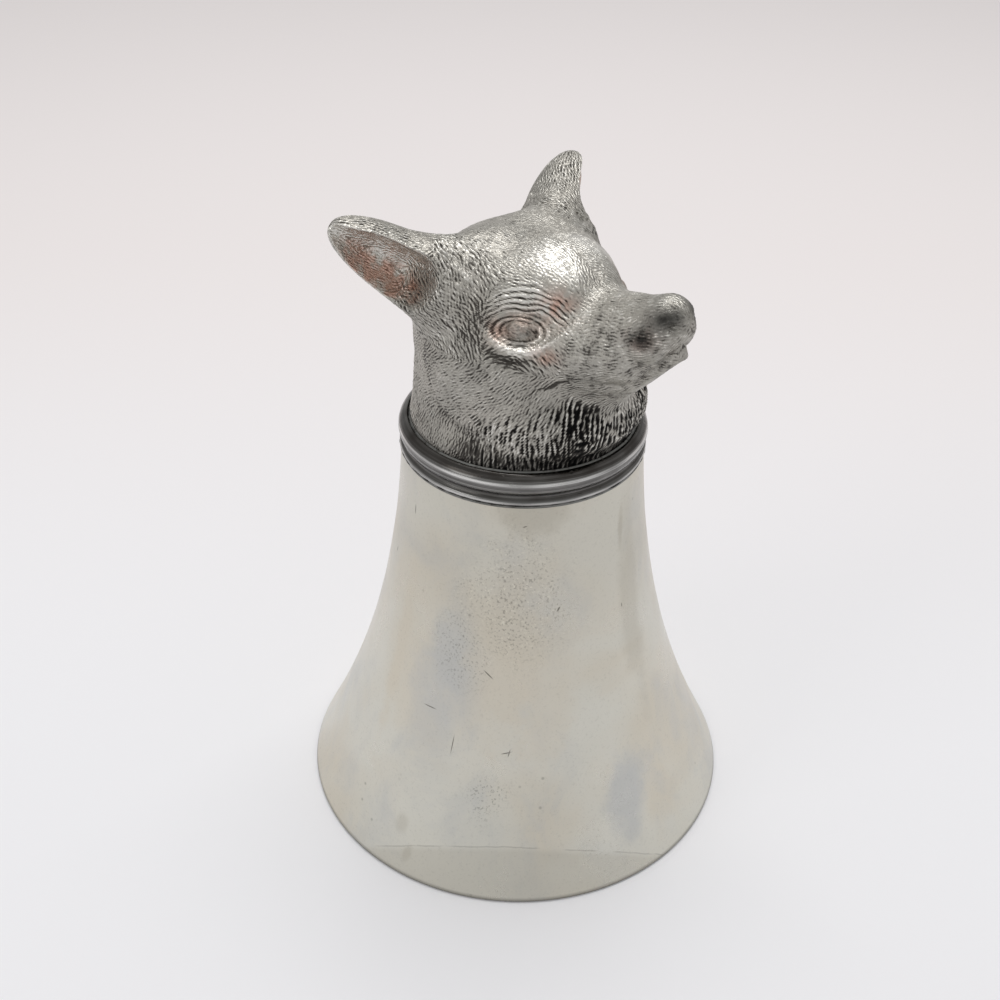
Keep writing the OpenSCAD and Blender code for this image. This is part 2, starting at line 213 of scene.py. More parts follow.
def lattice(cell, seed):
    """A repeatable value from 0 to 1 for each whole-numbered cell: its three indices with their bits
    mixed."""
    c = cell.astype(np.int64).astype(np.uint32)
    h = (c[..., 0] * np.uint32(73856093)) ^ (c[..., 1] * np.uint32(19349663)) \
        ^ (c[..., 2] * np.uint32(83492791)) ^ np.uint32(seed * 2654435 + 977)
    h = (h ^ (h >> np.uint32(16))) * np.uint32(0x7FEB352D)
    h = (h ^ (h >> np.uint32(15))) * np.uint32(0x846CA68B)
    return (h ^ (h >> np.uint32(16))) / 4294967296.0


def cloud(p, size, seed=0):
    """Smooth noise from -1 to 1: lattice values at the eight corners of a cell, eased between."""
    q = p / size
    base = np.floor(q)
    f = q - base
    f = f * f * (3 - 2 * f)
    total = 0.0
    for corner in np.ndindex(2, 2, 2):
        step = np.array(corner)
        weight = np.prod(np.where(step, f, 1 - f), axis=-1)
        total = total + weight * lattice(base + step, seed)
    return total * 2 - 1


def strokes(p, across, wave, reach, seed=0):
    """Short parallel strokes: waves of length wave along the direction across, each under a bell of
    radius reach, summed over two scattered centres in each of the 27 cells round a point."""
    q = p / reach
    base = np.floor(q)
    total = np.zeros(p.shape[:-1])
    turns = 2 * np.pi * reach / wave
    for corner in np.ndindex(3, 3, 3):
        cell = base + np.array(corner) - 1
        for pick in range(2):
            s = seed + 17 * pick
            centre = cell + np.stack([lattice(cell, s + k) for k in (1, 2, 3)], -1)
            d = q - centre
            bell = np.exp(-np.pi * np.sum(d * d, -1))
            phase = 2 * np.pi * lattice(cell, s + 4)
            total += bell * np.cos(turns * np.sum(d * across, -1) + phase)
    return np.clip(total * 0.9, -1.3, 1.3)


# Meshes from grids

def ramp(x, low, high):
    """An eased step from 0 at low to 1 at high."""
    t = np.clip((x - low) / (high - low), 0, 1)
    return t * t * (3 - 2 * t)


def hump(x, width):
    """A bell-shaped bump of the given width."""
    return np.exp(-(x / width) ** 2)


def spot(u, v, middle, reach):
    """A bell-shaped bump over two coordinates."""
    return hump(u - middle[0], reach[0]) * hump(v - middle[1], reach[1])


def fill_mesh(name, points, faces, flat=0):
    """A smooth-shaded mesh object at the origin from millimetre points and a list of equal-sided face
    blocks; the last flat faces are shaded flat."""
    mesh = bpy.data.meshes.new(name)
    loops = np.concatenate([f.reshape(-1) for f in faces])
    counts = np.concatenate([np.full(len(f), f.shape[1]) for f in faces])
    mesh.vertices.add(len(points))
    mesh.vertices.foreach_set("co", (points * MM).astype(np.float32).ravel())
    mesh.loops.add(len(loops))
    mesh.loops.foreach_set("vertex_index", loops.astype(np.int32))
    mesh.polygons.add(len(counts))
    mesh.polygons.foreach_set("loop_start", (np.cumsum(counts) - counts).astype(np.int32))
    mesh.polygons.foreach_set("use_smooth", np.arange(len(counts)) < len(counts) - flat)
    mesh.update(calc_edges=True)
    if mesh.validate():
        raise RuntimeError(name + " has faces that can't be used")
    piece = bpy.data.objects.new(name, mesh)
    bpy.context.scene.collection.objects.link(piece)
    return piece


def weave(rows, cols, wrap):
    """Four-sided faces of a grid that closes on itself across, and lengthwise too when wrap is true."""
    i, j = np.meshgrid(np.arange(rows if wrap else rows - 1), np.arange(cols), indexing="ij")
    k, m = (i + 1) % rows, (j + 1) % cols
    return np.stack([i * cols + j, i * cols + m, k * cols + m, k * cols + j], -1).reshape(-1, 4)


def capped_skin(name, rings, first, last):
    """A closed skin: rings of points one after another, and a single point closing each end, the first
    end shaded flat."""
    rows, cols = rings.shape[:2]
    j = np.arange(cols)
    m = (j + 1) % cols
    n = rows * cols
    points = np.concatenate([rings.reshape(-1, 3), [first, last]])
    start = np.stack([m, j, np.full(cols, n)], -1)
    end = np.stack([(rows - 1) * cols + j, (rows - 1) * cols + m, np.full(cols, n + 1)], -1)
    return fill_mesh(name, points, [weave(rows, cols, False), end, start], len(start))


def spun(profile, around):
    """Rings of a profile of [radius, height] rows turned about the upright axis."""
    a = np.linspace(0, 2 * np.pi, around, endpoint=False)
    r, z = profile[:, 0, None], profile[:, 1, None]
    return np.stack([r * np.cos(a), r * np.sin(a), z + 0 * a], -1)


def pushed(rings, amount):
    """The rings moved level away from the axis by the given amount."""
    level = rings * [1, 1, 0]
    out = level / np.maximum(np.linalg.norm(level, axis=-1, keepdims=True), 1e-6)
    return rings + out * amount[..., None]


def eased(points, cut, steps=5):
    """A line of points with each inner corner cut back by cut and rounded by a curve of second degree."""
    p = np.asarray(points, float)
    mid = p[1:-1]
    back, ahead = p[:-2] - mid, p[2:] - mid
    lb, la = (np.linalg.norm(v, axis=1, keepdims=True) for v in (back, ahead))
    reach = np.minimum(cut, 0.4 * np.minimum(lb, la))
    a, c = mid + back / lb * reach, mid + ahead / la * reach
    t = np.linspace(0, 1, steps)[None, :, None]
    bend = (1 - t) ** 2 * a[:, None] + 2 * t * (1 - t) * mid[:, None] + t ** 2 * c[:, None]
    return np.concatenate([p[:1], bend.reshape(-1, 2), p[-1:]])


def label(piece, name, values):
    """A named value at each point, for the piece's material to read."""
    values = np.asarray(values, np.float32)
    if values.ndim == 1:
        piece.data.attributes.new(name, "FLOAT", "POINT").data.foreach_set("value", values)
    else:
        piece.data.attributes.new(name, "FLOAT_VECTOR", "POINT").data.foreach_set("vector", values.ravel())


def fit_in(piece, material, slot, *nodes):
    """The piece takes its material, rides with the part and stands for its CAD nodes."""
    piece.data.materials.append(material)
    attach(piece, "root")
    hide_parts(*nodes)


# Materials

class Nodes:
    """A node tree, built one node at a time."""

    def __init__(self, tree):
        self.tree = tree
        tree.nodes.clear()

    def put(self, value, socket):
        """A constant is written on the socket, another node's output is linked to it."""
        if isinstance(value, bpy.types.NodeSocket):
            self.tree.links.new(value, socket)
        else:
            socket.default_value = value

    def node(self, kind, inputs, **options):
        """A node with its options and its inputs, by socket name or number."""
        made = self.tree.nodes.new("ShaderNode" + kind)
        for key, value in options.items():
            setattr(made, key, value)
        for key, value in inputs.items():
            self.put(value, made.inputs[key])
        return made

    def math(self, operation, a, b=0.0, clamp=False):
        """A sum on numbers."""
        return self.node("Math", {0: a, 1: b}, operation=operation, use_clamp=clamp).outputs[0]

    def times(self, a, b):
        """The product of two numbers."""
        return self.math("MULTIPLY", a, b)

    def plus(self, a, b):
        """Two numbers added."""
        return self.math("ADD", a, b)

    def minus(self, a, b):
        """The second number taken from the first."""
        return self.math("SUBTRACT", a, b)

    def spread(self, value, low, high, out_low=0.0, out_high=1.0):
        """An eased step between two values."""
        made = self.node("MapRange", {"Value": value, "From Min": low, "From Max": high, "To Min": out_low,
                                      "To Max": out_high}, interpolation_type="SMOOTHSTEP")
        return made.outputs["Result"]

    def blend(self, share_of_b, a, b, kind="MIX"):
        """A colour between two colours."""
        made = self.node("Mix", {}, data_type="RGBA", blend_type=kind)
        self.put(share_of_b, made.inputs["Factor"])
        for socket, value in zip([s for s in made.inputs if s.type == "RGBA"], (a, b)):
            self.put(value if isinstance(value, bpy.types.NodeSocket) else (*value, 1.0), socket)
        return [s for s in made.outputs if s.type == "RGBA"][0]


class Paint(Nodes):
    """The nodes of a metal material."""

    def __init__(self, name):
        self.material = bpy.data.materials.new(name)
        self.material.use_nodes = True
        super().__init__(self.material.node_tree)
        self.place = self.node("TexCoord", {}).outputs["Object"]

    def noise(self, scale, detail=2.0, rough=0.5, place=None, warp=0.0):
        """Cloudy noise."""
        return self.node("TexNoise", {"Vector": place or self.place, "Scale": scale, "Detail": detail,
                                      "Roughness": rough, "Distortion": warp}).outputs["Fac"]

    def named(self, name, vector=False):
        """A value that the piece carries at its points."""
        return self.node("Attribute", {}, attribute_name=name).outputs["Vector" if vector else "Fac"]

    def shift(self, scale, move=(0.0, 0.0, 0.0)):
        """The place stretched and moved."""
        return self.node("Mapping", {"Vector": self.place, "Scale": scale, "Location": move}).outputs[0]

    def dents(self, height, depth, strength=1.0):
        """Small relief."""
        made = self.node("Bump", {"Height": height, "Distance": depth, "Strength": strength})
        return made.outputs["Normal"]

    def metal(self, tone, rough, normal):
        """Ends the nodes in bare metal and gives the material."""
        shader = self.node("BsdfPrincipled", {"Base Color": tone, "Metallic": 1.0, "Roughness": rough,
                                              "Normal": normal})
        self.node("OutputMaterial", {"Surface": shader.outputs["BSDF"]})
        return self.material


# Marks on the bell: degrees round it, height, length, half width, degrees of lean.
# A stain has its tint and strength too. The deep values are half depths into the wall.
SCRATCHES = ((169, 61.5, 2.4, 0.15, 0), (154, 50.5, 1.4, 0.15, 5), (-146, 38.0, 2.6, 0.15, -50),
             (-168, 29.3, 3.2, 0.14, 88), (-138, 24.7, 2.2, 0.13, 75), (-137, 24.7, 1.8, 0.12, 15),
             (-118, 49.6, 1.3, 0.20, 30), (-133, 64.7, 0.9, 0.13, 70), (-86, 45.9, 1.0, 0.13, 0),
             (-157, 24.5, 4.5, 0.11, 4), (-163, 68.2, 1.6, 0.20, 85), (40, 52.0, 2.6, 0.10, 20),
             (75, 30.0, 3.2, 0.10, -35))
STAINS = (((-160, 39, 28, 8.0, 0), "bell_cool", 0.8), ((-98, 13, 20, 5.5, 8), "bell_cool", 0.8),
          ((-140, 42, 44, 9.0, 0), "bell_warm", 0.7), ((-128, 66.5, 9, 8.0, 0), "bell_dull", 0.65),
          ((-84, 60, 11, 0.8, 3), "bell_dull", 0.6), ((-169, 8.0, 5, 1.8, 0), "bell_dull", 0.35),
          ((-165, 4.0, 4.5, 1.2, 15), "bell_dull", 0.45), ((60, 40, 30, 8.0, 10), "bell_cool", 0.6),
          ((-80, 46, 56, 3.6, 2), "bell_dull", 0.40), ((172, 36, 46, 2.4, 0), "bell_warm", 0.8),
          ((-124, 34, 40, 6.0, 4), "bell_warm", 0.5))
PITS = ((-137, 51, 36, 13.0, 0), (-158, 41, 24, 8.0, 0), (-143, 17, 12, 5.0, 20), (60, 45, 30, 12.0, 0))
STAIN_DEEP, PIT_DEEP, SCRATCH_DEEP = 14.0, 9.0, 3.0
# The rim's painted reflection, a dull band, ends at a slanting plane: its rise for each step forward, and
# its drop in metres
RIM_SLANT, RIM_DROP = 1.3, 0.0345


def blob(p, cup, mark, deep, soft, ragged=None):
    """1 inside an oval on the bell and 0 outside: the place, measured in the oval's half sizes, has a
    length under 1."""
    angle, height, long, half, lean = mark
    turn, lean = math.radians(angle), math.radians(lean)
    line = flare_line(cup, 0, 60)
    radius = np.interp(height, line[:, 1], line[:, 0])
    out = np.array([math.cos(turn), math.sin(turn), 0.0])
    along = np.array([-math.sin(lean) * out[1], math.sin(lean) * out[0], math.cos(lean)])
    axes = Matrix(np.stack([along, out, np.cross(along, out)], 1).tolist())
    middle = (out * radius + [0, 0, height]) * MM
    inside = p.node("Mapping", {"Vector": p.place, "Location": middle.tolist(), "Rotation": axes.to_euler(),
                                "Scale": (0.5 * long * MM, deep * MM, half * MM)}, vector_type="TEXTURE")
    far = p.node("VectorMath", {0: inside.outputs[0]}, operation="LENGTH").outputs["Value"]
    return p.spread(p.plus(far, ragged) if ragged else far, 1.0, soft)


def bell_paint(look, cup):
    """Satin spun pewter with soft stains, a painted reflection along the rim with a thin dark edge line, a
    painted contact shadow at the foot of the mouth, fine turning lines, pits and scratches.
    """
    p = Paint("spun_pewter")
    ragged = p.times(p.minus(p.noise(190.0, 5.0, 0.65), 0.5), 1.2)
    warm = p.spread(p.noise(42.0, 3.0, 0.55, warp=0.4), 0.38, 0.66, 0.0, 0.8)
    cool = p.noise(75.0, 5.0, 0.62, p.shift((1.0, 1.0, 0.75), (0.3, 0.1, 0.2)), 0.5)
    tone = p.blend(warm, look.bell, look.bell_warm)
    tone = p.blend(p.spread(cool, 0.46, 0.70, 0.0, 0.5), tone, look.bell_cool)
    for mark, tint, gain in STAINS:
        zone = blob(p, cup, mark, STAIN_DEEP, 0.3, ragged)
        tone = p.blend(p.times(zone, gain), tone, getattr(look, tint))
    x, y, z = p.node("SeparateXYZ", {0: p.place}).outputs
    # Darker towards the top, under the collar
    tone = p.blend(p.spread(z, 0.028, 0.058, 0.0, 0.32), tone, look.bell_dull)
    # Painted reflection: a dull band along the rim, higher towards the front, with a thin dark line at its
    # edge
    front = p.times(p.plus(x, y), -math.sqrt(0.5))
    depth = p.minus(p.minus(p.times(front, RIM_SLANT), z), RIM_DROP)
    depth = p.plus(depth, p.times(ragged, 0.0009))
    tone = p.blend(p.spread(depth, -0.0004, 0.0016, 0.0, 0.35), tone, look.bell_dull)
    line = p.spread(p.math("ABSOLUTE", depth), 0.00028, 0.0, 0.0, 0.4)
    tone = p.blend(p.times(line, p.spread(p.noise(150.0), 0.4, 0.55)), tone, look.reflection_edge)
    marks = p.times(p.spread(p.noise(2300.0, 2.0, 0.7), 0.54, 0.70), 0.22)
    speck = p.spread(p.noise(2500.0, 2.0, 0.65), 0.55, 0.66)
    for mark in PITS:
        marks = p.math("MAXIMUM", marks, p.times(speck, blob(p, cup, mark, PIT_DEEP, 0.2, ragged)))
    marks = p.times(marks, 0.55)
    glint = p.spread(p.noise(2100.0, 2.0, 0.6), 0.58, 0.70)
    glint = p.times(glint, blob(p, cup, PITS[0], PIT_DEEP, 0.2, ragged))
    tone = p.blend(p.times(glint, 0.5), tone, look.glint)
    cells = p.node("TexVoronoi", {"Vector": p.place, "Scale": 330.0, "Randomness": 1.0}).outputs["Distance"]
    dots = p.times(p.spread(cells, 0.13, 0.04), p.spread(p.noise(80.0, 2.0), 0.55, 0.64))
    marks = p.math("MAXIMUM", marks, p.times(dots, 0.45))
    for mark in SCRATCHES:
        marks = p.math("MAXIMUM", marks, blob(p, cup, mark, SCRATCH_DEEP, 0.4))
    tone = p.blend(p.times(marks, 0.8), tone, look.pit)
    # Painted contact shadow: darker within about a millimetre of the floor
    tone = p.blend(p.spread(z, 0.0011, 0.0002, 0.0, 0.75), tone, look.lip)
    rough = p.plus(p.spread(p.noise(60.0, 4.0, 0.6), 0.3, 0.7, 0.25, 0.37), p.times(marks, 0.2))
    turning = p.noise(1.0, 2.0, 0.6, p.shift((18.0, 18.0, 2400.0)))
    return p.metal(tone, rough, p.dents(p.minus(p.times(turning, 0.10), marks), 0.00004, 0.6))


def collar_paint(look):
    """Tarnished polished pewter with a painted highlight line along the bead, a lighter line on the fillet,
    turning lines, small nicks, dark grooves and dark painted reflections on the bead.
    """
    p = Paint("collar_pewter")
    blot = p.spread(p.noise(160.0, 4.0, 0.65), 0.42, 0.68)
    lines = p.noise(1.0, 3.0, 0.7, p.shift((30.0, 30.0, 7000.0)))
    tone = p.blend(p.times(blot, 0.7), look.collar, look.collar_blot)
    tone = p.blend(p.spread(lines, 0.54, 0.42, 0.0, 0.75), tone, look.collar_line)
    # Painted highlight along the bead, and a lighter line on the fillet
    tone = p.blend(p.times(p.named("highlight_and_wear"), p.spread(lines, 0.30, 0.5, 0.4, 1.0)), tone, look.highlight_and_wear_line)
    # Dark in the grooves, and painted reflections of dark surroundings on the bead
    tone = p.blend(p.named("hollows_and_reflection"), tone, look.patina_and_shade)
    rough = p.spread(p.noise(300.0, 3.0), 0.3, 0.7, 0.12, 0.24)
    nick = p.minus(lines, p.spread(p.noise(900.0, 1.0), 0.66, 0.74))
    return p.metal(tone, rough, p.dents(nick, 0.00004, 0.6))


def solder_paint(look):
    """Dull uneven solder, blackened in its hollows."""
    p = Paint("solder")
    lump = p.noise(700.0, 3.0, 0.6)
    tone = p.blend(p.spread(lump, 0.25, 0.5), look.patina_and_shade, look.solder)
    return p.metal(tone, p.spread(lump, 0.3, 0.7, 0.35, 0.6), p.dents(lump, 0.0001, 0.8))


def cast_paint(look):
    """Cast pewter: dark patina in the recesses, worn bright crests, and fine fur strokes along the
    direction that the piece carries;
    the values it reads also carry painted highlights, painted shade and painted reflections."""
    p = Paint("cast_pewter")
    fine = p.node("TexGabor", {"Vector": p.place, "Scale": 1100.0, "Frequency": 2.0, "Anisotropy": 0.8,
                               "Orientation 3D": p.named("across", vector=True)}, gabor_type="3D")
    hair = p.times(p.minus(fine.outputs["Value"], 0.5), p.named("fur"))
    speck = p.minus(p.noise(1700.0, 3.0, 0.65), 0.5)
    blotch = p.times(p.minus(p.noise(620.0, 4.0, 0.7), 0.5), p.named("bald"))
    level = p.plus(p.times(hair, 1.7), p.times(speck, 0.9))
    level = p.plus(p.plus(level, p.named("relief_and_light")), p.times(blotch, 2.6))
    mottle = p.spread(p.noise(130.0, 4.0, 0.6), 0.35, 0.7)
    tone = p.blend(p.times(mottle, 0.7), look.cast, look.cast_mottle)
    # Worn crests lighter, with the painted highlights that the relief carries
    tone = p.blend(p.spread(level, 0.04, 0.60, 0.0, 0.8), tone, look.crest)
    # Patina in the hollows darker, with the painted shade that the relief carries
    tone = p.blend(p.spread(level, -0.04, -0.62, 0.0, 0.9), tone, look.patina_and_shade)
    # Painted warm reflection round the eye and in the ear
    warm = p.times(p.named("warm_reflection"), p.spread(p.noise(420.0, 4.0, 0.65), 0.34, 0.60))
    tone = p.blend(warm, tone, look.warm_reflection, "MULTIPLY")
    # Blackest metal: patina in furrows and nostrils, and a painted reflection of dark surroundings at the
    # foot of the chest
    black = p.times(p.named("patina_and_shade"), p.spread(level, 0.5, 0.0))
    tone = p.blend(p.math("MINIMUM", black, 1.0), tone, look.black_and_reflection)
    rough = p.spread(level, -0.5, 0.5, 0.55, 0.36)
    return p.metal(tone, rough, p.dents(p.plus(hair, p.times(speck, 0.55)), 0.0003))


# Spun bell, collar and seams

# Corner rounding of a turned profile, and how near to the axis it starts
EDGE_CUT = 0.12
AXIS_GAP = 0.5


def flare_line(cup, inset, steps):
    """The bell's side as a cubic curve from the lip up to the shoulder, moved inwards by inset."""
    shoulder = cup.neck_r + cup.shoulder_step
    t = np.linspace(0, 1, steps)[:, None]
    ends = [(cup.mouth_r - inset, cup.lip_round), (cup.mouth_r - inset - 0.4, cup.lip_rise),
            (shoulder + cup.waist_out - inset, cup.waist_z), (shoulder - inset, cup.shoulder_z)]
    a, b, c, d = (np.array(e) for e in ends)
    return (1 - t) ** 3 * a + 3 * (1 - t) ** 2 * t * b + 3 * (1 - t) * t ** 2 * c + t ** 3 * d


class STIRRUP_OT_bell(bpy.types.Operator):
    """Spins the bell as one turned profile: top disc, spigot, shoulder, outer flare, lip, inner flare and
    floor."""
    bl_idname = "stirrup.bell"
    bl_label = "Cup bell"

    def execute(self, context):
        cup, _, look, _ = sizes()
        spigot, shoulder = cup.neck_r - cup.spigot_step, cup.neck_r + cup.shoulder_step
        side = flare_line(cup, 0, 90)[::-1]
        top = eased([(AXIS_GAP, cup.seat_z), (spigot, cup.seat_z), (spigot, cup.shoulder_z),
                     (shoulder - 0.02, cup.shoulder_z), side[1]], EDGE_CUT)
        bore = cup.mouth_r - cup.wall
        lip = eased([side[-1], (cup.mouth_r - 0.1, 0.1), (cup.mouth_r - cup.lip_round, 0.0),
                     (bore + cup.lip_round, 0.0), (bore + 0.1, 0.1), (bore, cup.lip_round)], EDGE_CUT)[1:-1]
        inside = flare_line(cup, cup.wall, 60)[:-2]
        turn = np.linspace(0, np.pi / 2, 9)[:, None]
        rim, floor_z = spigot - cup.wall - cup.fillet, cup.seat_z - cup.floor
        corner = np.concatenate([rim + cup.fillet * np.cos(turn),
                                 floor_z + cup.fillet * (np.sin(turn) - 1)], 1)
        profile = np.concatenate([top, side[2:], lip, inside, corner, [(AXIS_GAP, floor_z)]])
        rings = spun(profile, cup.around)
        hold = ramp(profile[:, 1], 1.5, 9.0) * ramp(profile[:, 1], cup.shoulder_z, cup.shoulder_z - 9.0)
        wave = cloud(rings * [1, 1, 0.7], 11.0, 5) + 0.5 * cloud(rings, 5.0, 6)
        rings = pushed(rings, cup.dent * hold[:, None] * wave)
        piece = capped_skin("cup_bell_spun", rings[::-1], (0, 0, floor_z), (0, 0, cup.seat_z))
        fit_in(piece, bell_paint(look, cup), "spun_pewter", "cup_bell")
        return {"FINISHED"}


class STIRRUP_OT_collar(bpy.types.Operator):
    """Spins the collar: lower fillet, quirk and half-round bead as one closed turned profile."""
    bl_idname = "stirrup.collar"
    bl_label = "Collar"

    def execute(self, context):
        cup, _, look, _ = sizes()
        low, high, shoulder = cup.shoulder_z, cup.seat_z, cup.neck_r + cup.shoulder_step
        bore, rim, ridge = cup.neck_r - cup.bore_step, cup.neck_r + cup.groove, shoulder + cup.ridge_out
        bead_x, bead_z = shoulder + cup.bead_out - cup.bead_r, high - 0.72 * cup.bead_r
        start = math.asin(max((low + cup.ridge_h + cup.quirk - bead_z) / cup.bead_r, -1))
        a = np.linspace(start, math.acos((rim - bead_x) / cup.bead_r), 40)[:, None]
        bead = np.concatenate([bead_x + cup.bead_r * np.cos(a), bead_z + cup.bead_r * np.sin(a)], 1)
        foot = eased([(bore, low + 0.6), (bore, low), (ridge - 0.1, low), (ridge, low + 0.35 * cup.ridge_h),
                      (ridge - 0.05, low + 0.75 * cup.ridge_h), (shoulder, low + cup.ridge_h), bead[0]],
                     EDGE_CUT)
        crown = eased([bead[-1], (rim, high), (bore, high), (bore, low + 1.2)], 0.08)
        loop = np.concatenate([foot[:-1], bead, crown[1:]])
        r, z = loop.T
        rings = spun(loop, cup.around)
        wobble = 0.03 * cloud(rings, 3.0, 11) + 0.02 * cloud(rings, 1.2, 12) - 0.05
        rings = pushed(rings, ramp(r, shoulder - 1.0, shoulder)[:, None] * wobble)
        piece = fill_mesh("collar_turned", rings.reshape(-1, 3), [weave(*rings.shape[:2], True)])
        rise = np.arctan2(z - bead_z, r - bead_x)
        on_bead = np.abs(np.hypot(z - bead_z, r - bead_x) - cup.bead_r) < 0.02
        # Dark in the quirk and the groove round the neck; on the bead's upper face and in a band below its
        # middle, a painted reflection of dark surroundings
        quirk = hump(z - low - cup.ridge_h - 0.25, 0.35) * (r < ridge + 0.05) * (r > shoulder - 0.6)
        dark = (0.95 * ramp(rise, 0.44, 0.62) + 0.5 * hump(rise + 0.08, 0.12)) * on_bead
        hollows_and_reflection = np.clip(quirk + dark + ramp(r, rim + 0.25, rim - 0.05), 0, 1)
        # Painted highlight along the middle of the bead, and a lighter line on the lower fillet
        highlight_and_wear = 1.2 * hump(rise - 0.26, 0.09) * on_bead \
            + 0.5 * hump(z - low - 0.5 * cup.ridge_h, 0.25) * (r > ridge - 0.15)
        label(piece, "hollows_and_reflection", (hollows_and_reflection[:, None] * (0.75 + 0.25 * cloud(rings, 2.0, 13))).ravel())
        label(piece, "highlight_and_wear", (highlight_and_wear[:, None] * (0.55 + 0.6 * cloud(rings, 5.0, 14))).ravel())
        fit_in(piece, collar_paint(look), "collar_pewter", "collar")
        return {"FINISHED"}


class STIRRUP_OT_seams(bpy.types.Operator):
    """Lays the two solder seams: small closed profiles turned about the axis with an uneven outer edge."""
    bl_idname = "stirrup.seams"
    bl_label = "Solder seams"

    def execute(self, context):
        cup, _, look, _ = sizes()
        paint = solder_paint(look)
        shoulder, rim = cup.neck_r + cup.shoulder_step, cup.neck_r + cup.groove
        leg = 0.8 * cup.ridge_out
        under = [(shoulder + 0.04, cup.shoulder_z - 2 * leg), (shoulder + 0.5 * leg, cup.shoulder_z - leg),
                 (shoulder + leg, cup.shoulder_z), (shoulder + 0.04, cup.shoulder_z)]
        neck = [(cup.neck_r + 0.05, cup.seat_z), (rim - 0.05, cup.seat_z),
                (rim - 0.05, cup.seat_z + 0.2), (cup.neck_r + 0.05, cup.seat_z + 0.6)]
        edge = np.linspace(0, 1, 6, endpoint=False)[None, :, None]
        for name, line, node, uneven in (("collar_seam", under, "collar_solder", 0.10),
                                         ("neck_seam", neck, "neck_solder", 0.06)):
            corners = np.array(line)[:, None]
            loop = (corners * (1 - edge) + np.roll(corners, -1, 0) * edge).reshape(-1, 2)
            rings = spun(loop, cup.around)
            loose = ramp(loop[:, 0], loop[:, 0].min(), loop[:, 0].max())[:, None]
            rings = pushed(rings, loose * uneven * (cloud(rings, 1.1, 21) - 0.2))
            piece = fill_mesh(name, rings.reshape(-1, 3), [weave(*rings.shape[:2], True)])
            fit_in(piece, paint, "solder", node)
        return {"FINISHED"}


# Fox head and ears

def unit(v):
    """A direction of length one."""
    v = np.asarray(v, float)
    return v / np.linalg.norm(v)


# Section planes: pivot under the jaw, turn about it, reach at both ends of the turn, where the foot and the
# turn end as shares of the way, where rows and points crowd, and the end of the hollow
PIVOT = np.array([25.0, 4.0])
TURN = math.radians(72.0)
REACH_LOW, REACH_HIGH = 25.0, 17.5
FOOT_END, FAN_END = 0.07, 0.68
NOSE_AIM = np.array([4.0, 1.4])
ROW_CROWDS = ((0.44, 0.13, 1.2), (0.8, 0.2, 0.5))
RING_CROWDS = ((-1.3, 0.6, 1.1), (1.3, 0.6, 1.1), (-2.5, 0.5, 0.8), (2.5, 0.5, 0.8))
HOLLOW_END, HOLLOW_BACK = 0.42, 2.5
# Rays: first step, least step, longest way, most steps and halvings
RAY_START, RAY_STEP, RAY_LIMIT = 0.1, 0.3, 60.0
RAY_STEPS, RAY_HALVINGS = 90, 14
# Ear: root, axis, lower edge, width and face directions, points; the head's skin sinks under it to a stub
EAR_SEAT = np.array([-5.2, 11.7, 22.9])
EAR_DIR = unit((-8.0, 11.4, 9.7))
EAR_LOW = np.array([-0.33, 0.47, -0.82])
EAR_ACROSS = unit(EAR_LOW - EAR_DIR * (EAR_LOW @ EAR_DIR))
EAR_FACE = np.cross(EAR_ACROSS, EAR_DIR)
EAR_ROWS, EAR_COLS = 130, 220
SEAT_SINK, SEAT_STUB = 0.06, 1.0
# Eye: middle, and its outward, lengthwise and upward directions
EYE = np.array([9.6, 10.6, 22.0])
EYE_OUT = unit((0.48, 0.7, 0.53))
EYE_LINE = np.array([0.82, -0.56, 0.0])
EYE_ALONG = unit(EYE_LINE - EYE_OUT * (EYE_LINE @ EYE_OUT))
EYE_UP = np.cross(EYE_ALONG, EYE_OUT)
WRINKLE_GAP, LID_GAP = 0.82, 0.42
# Heights of coarse and fine fur strokes in each zone
FUR_SHARES = {"temple": (0.12, 0.05), "crown": (0.025, 0.03), "cheek": (0.035, 0.055),
              "low": (0.055, 0.055), "muzzle": (0.02, 0.03)}


def one_side(p):
    """The points brought to the fox's left side."""
    return np.stack([p[..., 0], np.abs(p[..., 1]), p[..., 2]], -1)


def joined(a, b, k):
    """The nearer of two distances, with a round fillet of size k where they meet."""
    h = np.maximum(k - np.abs(a - b), 0) / k
    return np.minimum(a, b) - h * h * k / 4


def all_joined(form, *others):
    """A form with others joined to it in turn, each with its fillet size."""
    for other, k in others:
        form = joined(form, other, k)
    return form


def egg(p, middle, radii):
    """Distance to an ellipsoid, from the length of the point over its radii and over their squares."""
    u = (p - np.array(middle)) / np.array(radii)
    k = np.linalg.norm(u, axis=-1)
    return k * (k - 1) / (np.linalg.norm(u / np.array(radii), axis=-1) + 1e-6)


def stick(p, a, b, ra, rb):
    """Distance to a round-ended cone between two points."""
    a, b = np.array(a), np.array(b)
    ab = b - a
    t = np.clip((p - a) @ ab / (ab @ ab), 0, 1)
    return np.linalg.norm(p - a - t[..., None] * ab, axis=-1) - ra - (rb - ra) * t


def skull(p, head, neck_r):
    """Neck, crown, chest, forehead and cheek ruff joined."""
    return all_joined(
        stick(p, (0, 0, 0), (-2, 0, head.nape_h), neck_r, head.nape_r),
        (egg(p, (-2.5, 0, head.skull_h), (12, head.skull_w, head.skull_t)), 6),
        (egg(p, (head.chest_reach - 10.3, 0, 5.9), (10.3, 13.6, 9)), 4),
        (egg(p, (6.6, 0, head.forehead_h), (8.4, head.forehead_w, 8.8)), 4),
        (egg(p, (2.4, head.ruff_w - 8.2, head.ruff_h), (9.7, 8.2, 9)), 5))


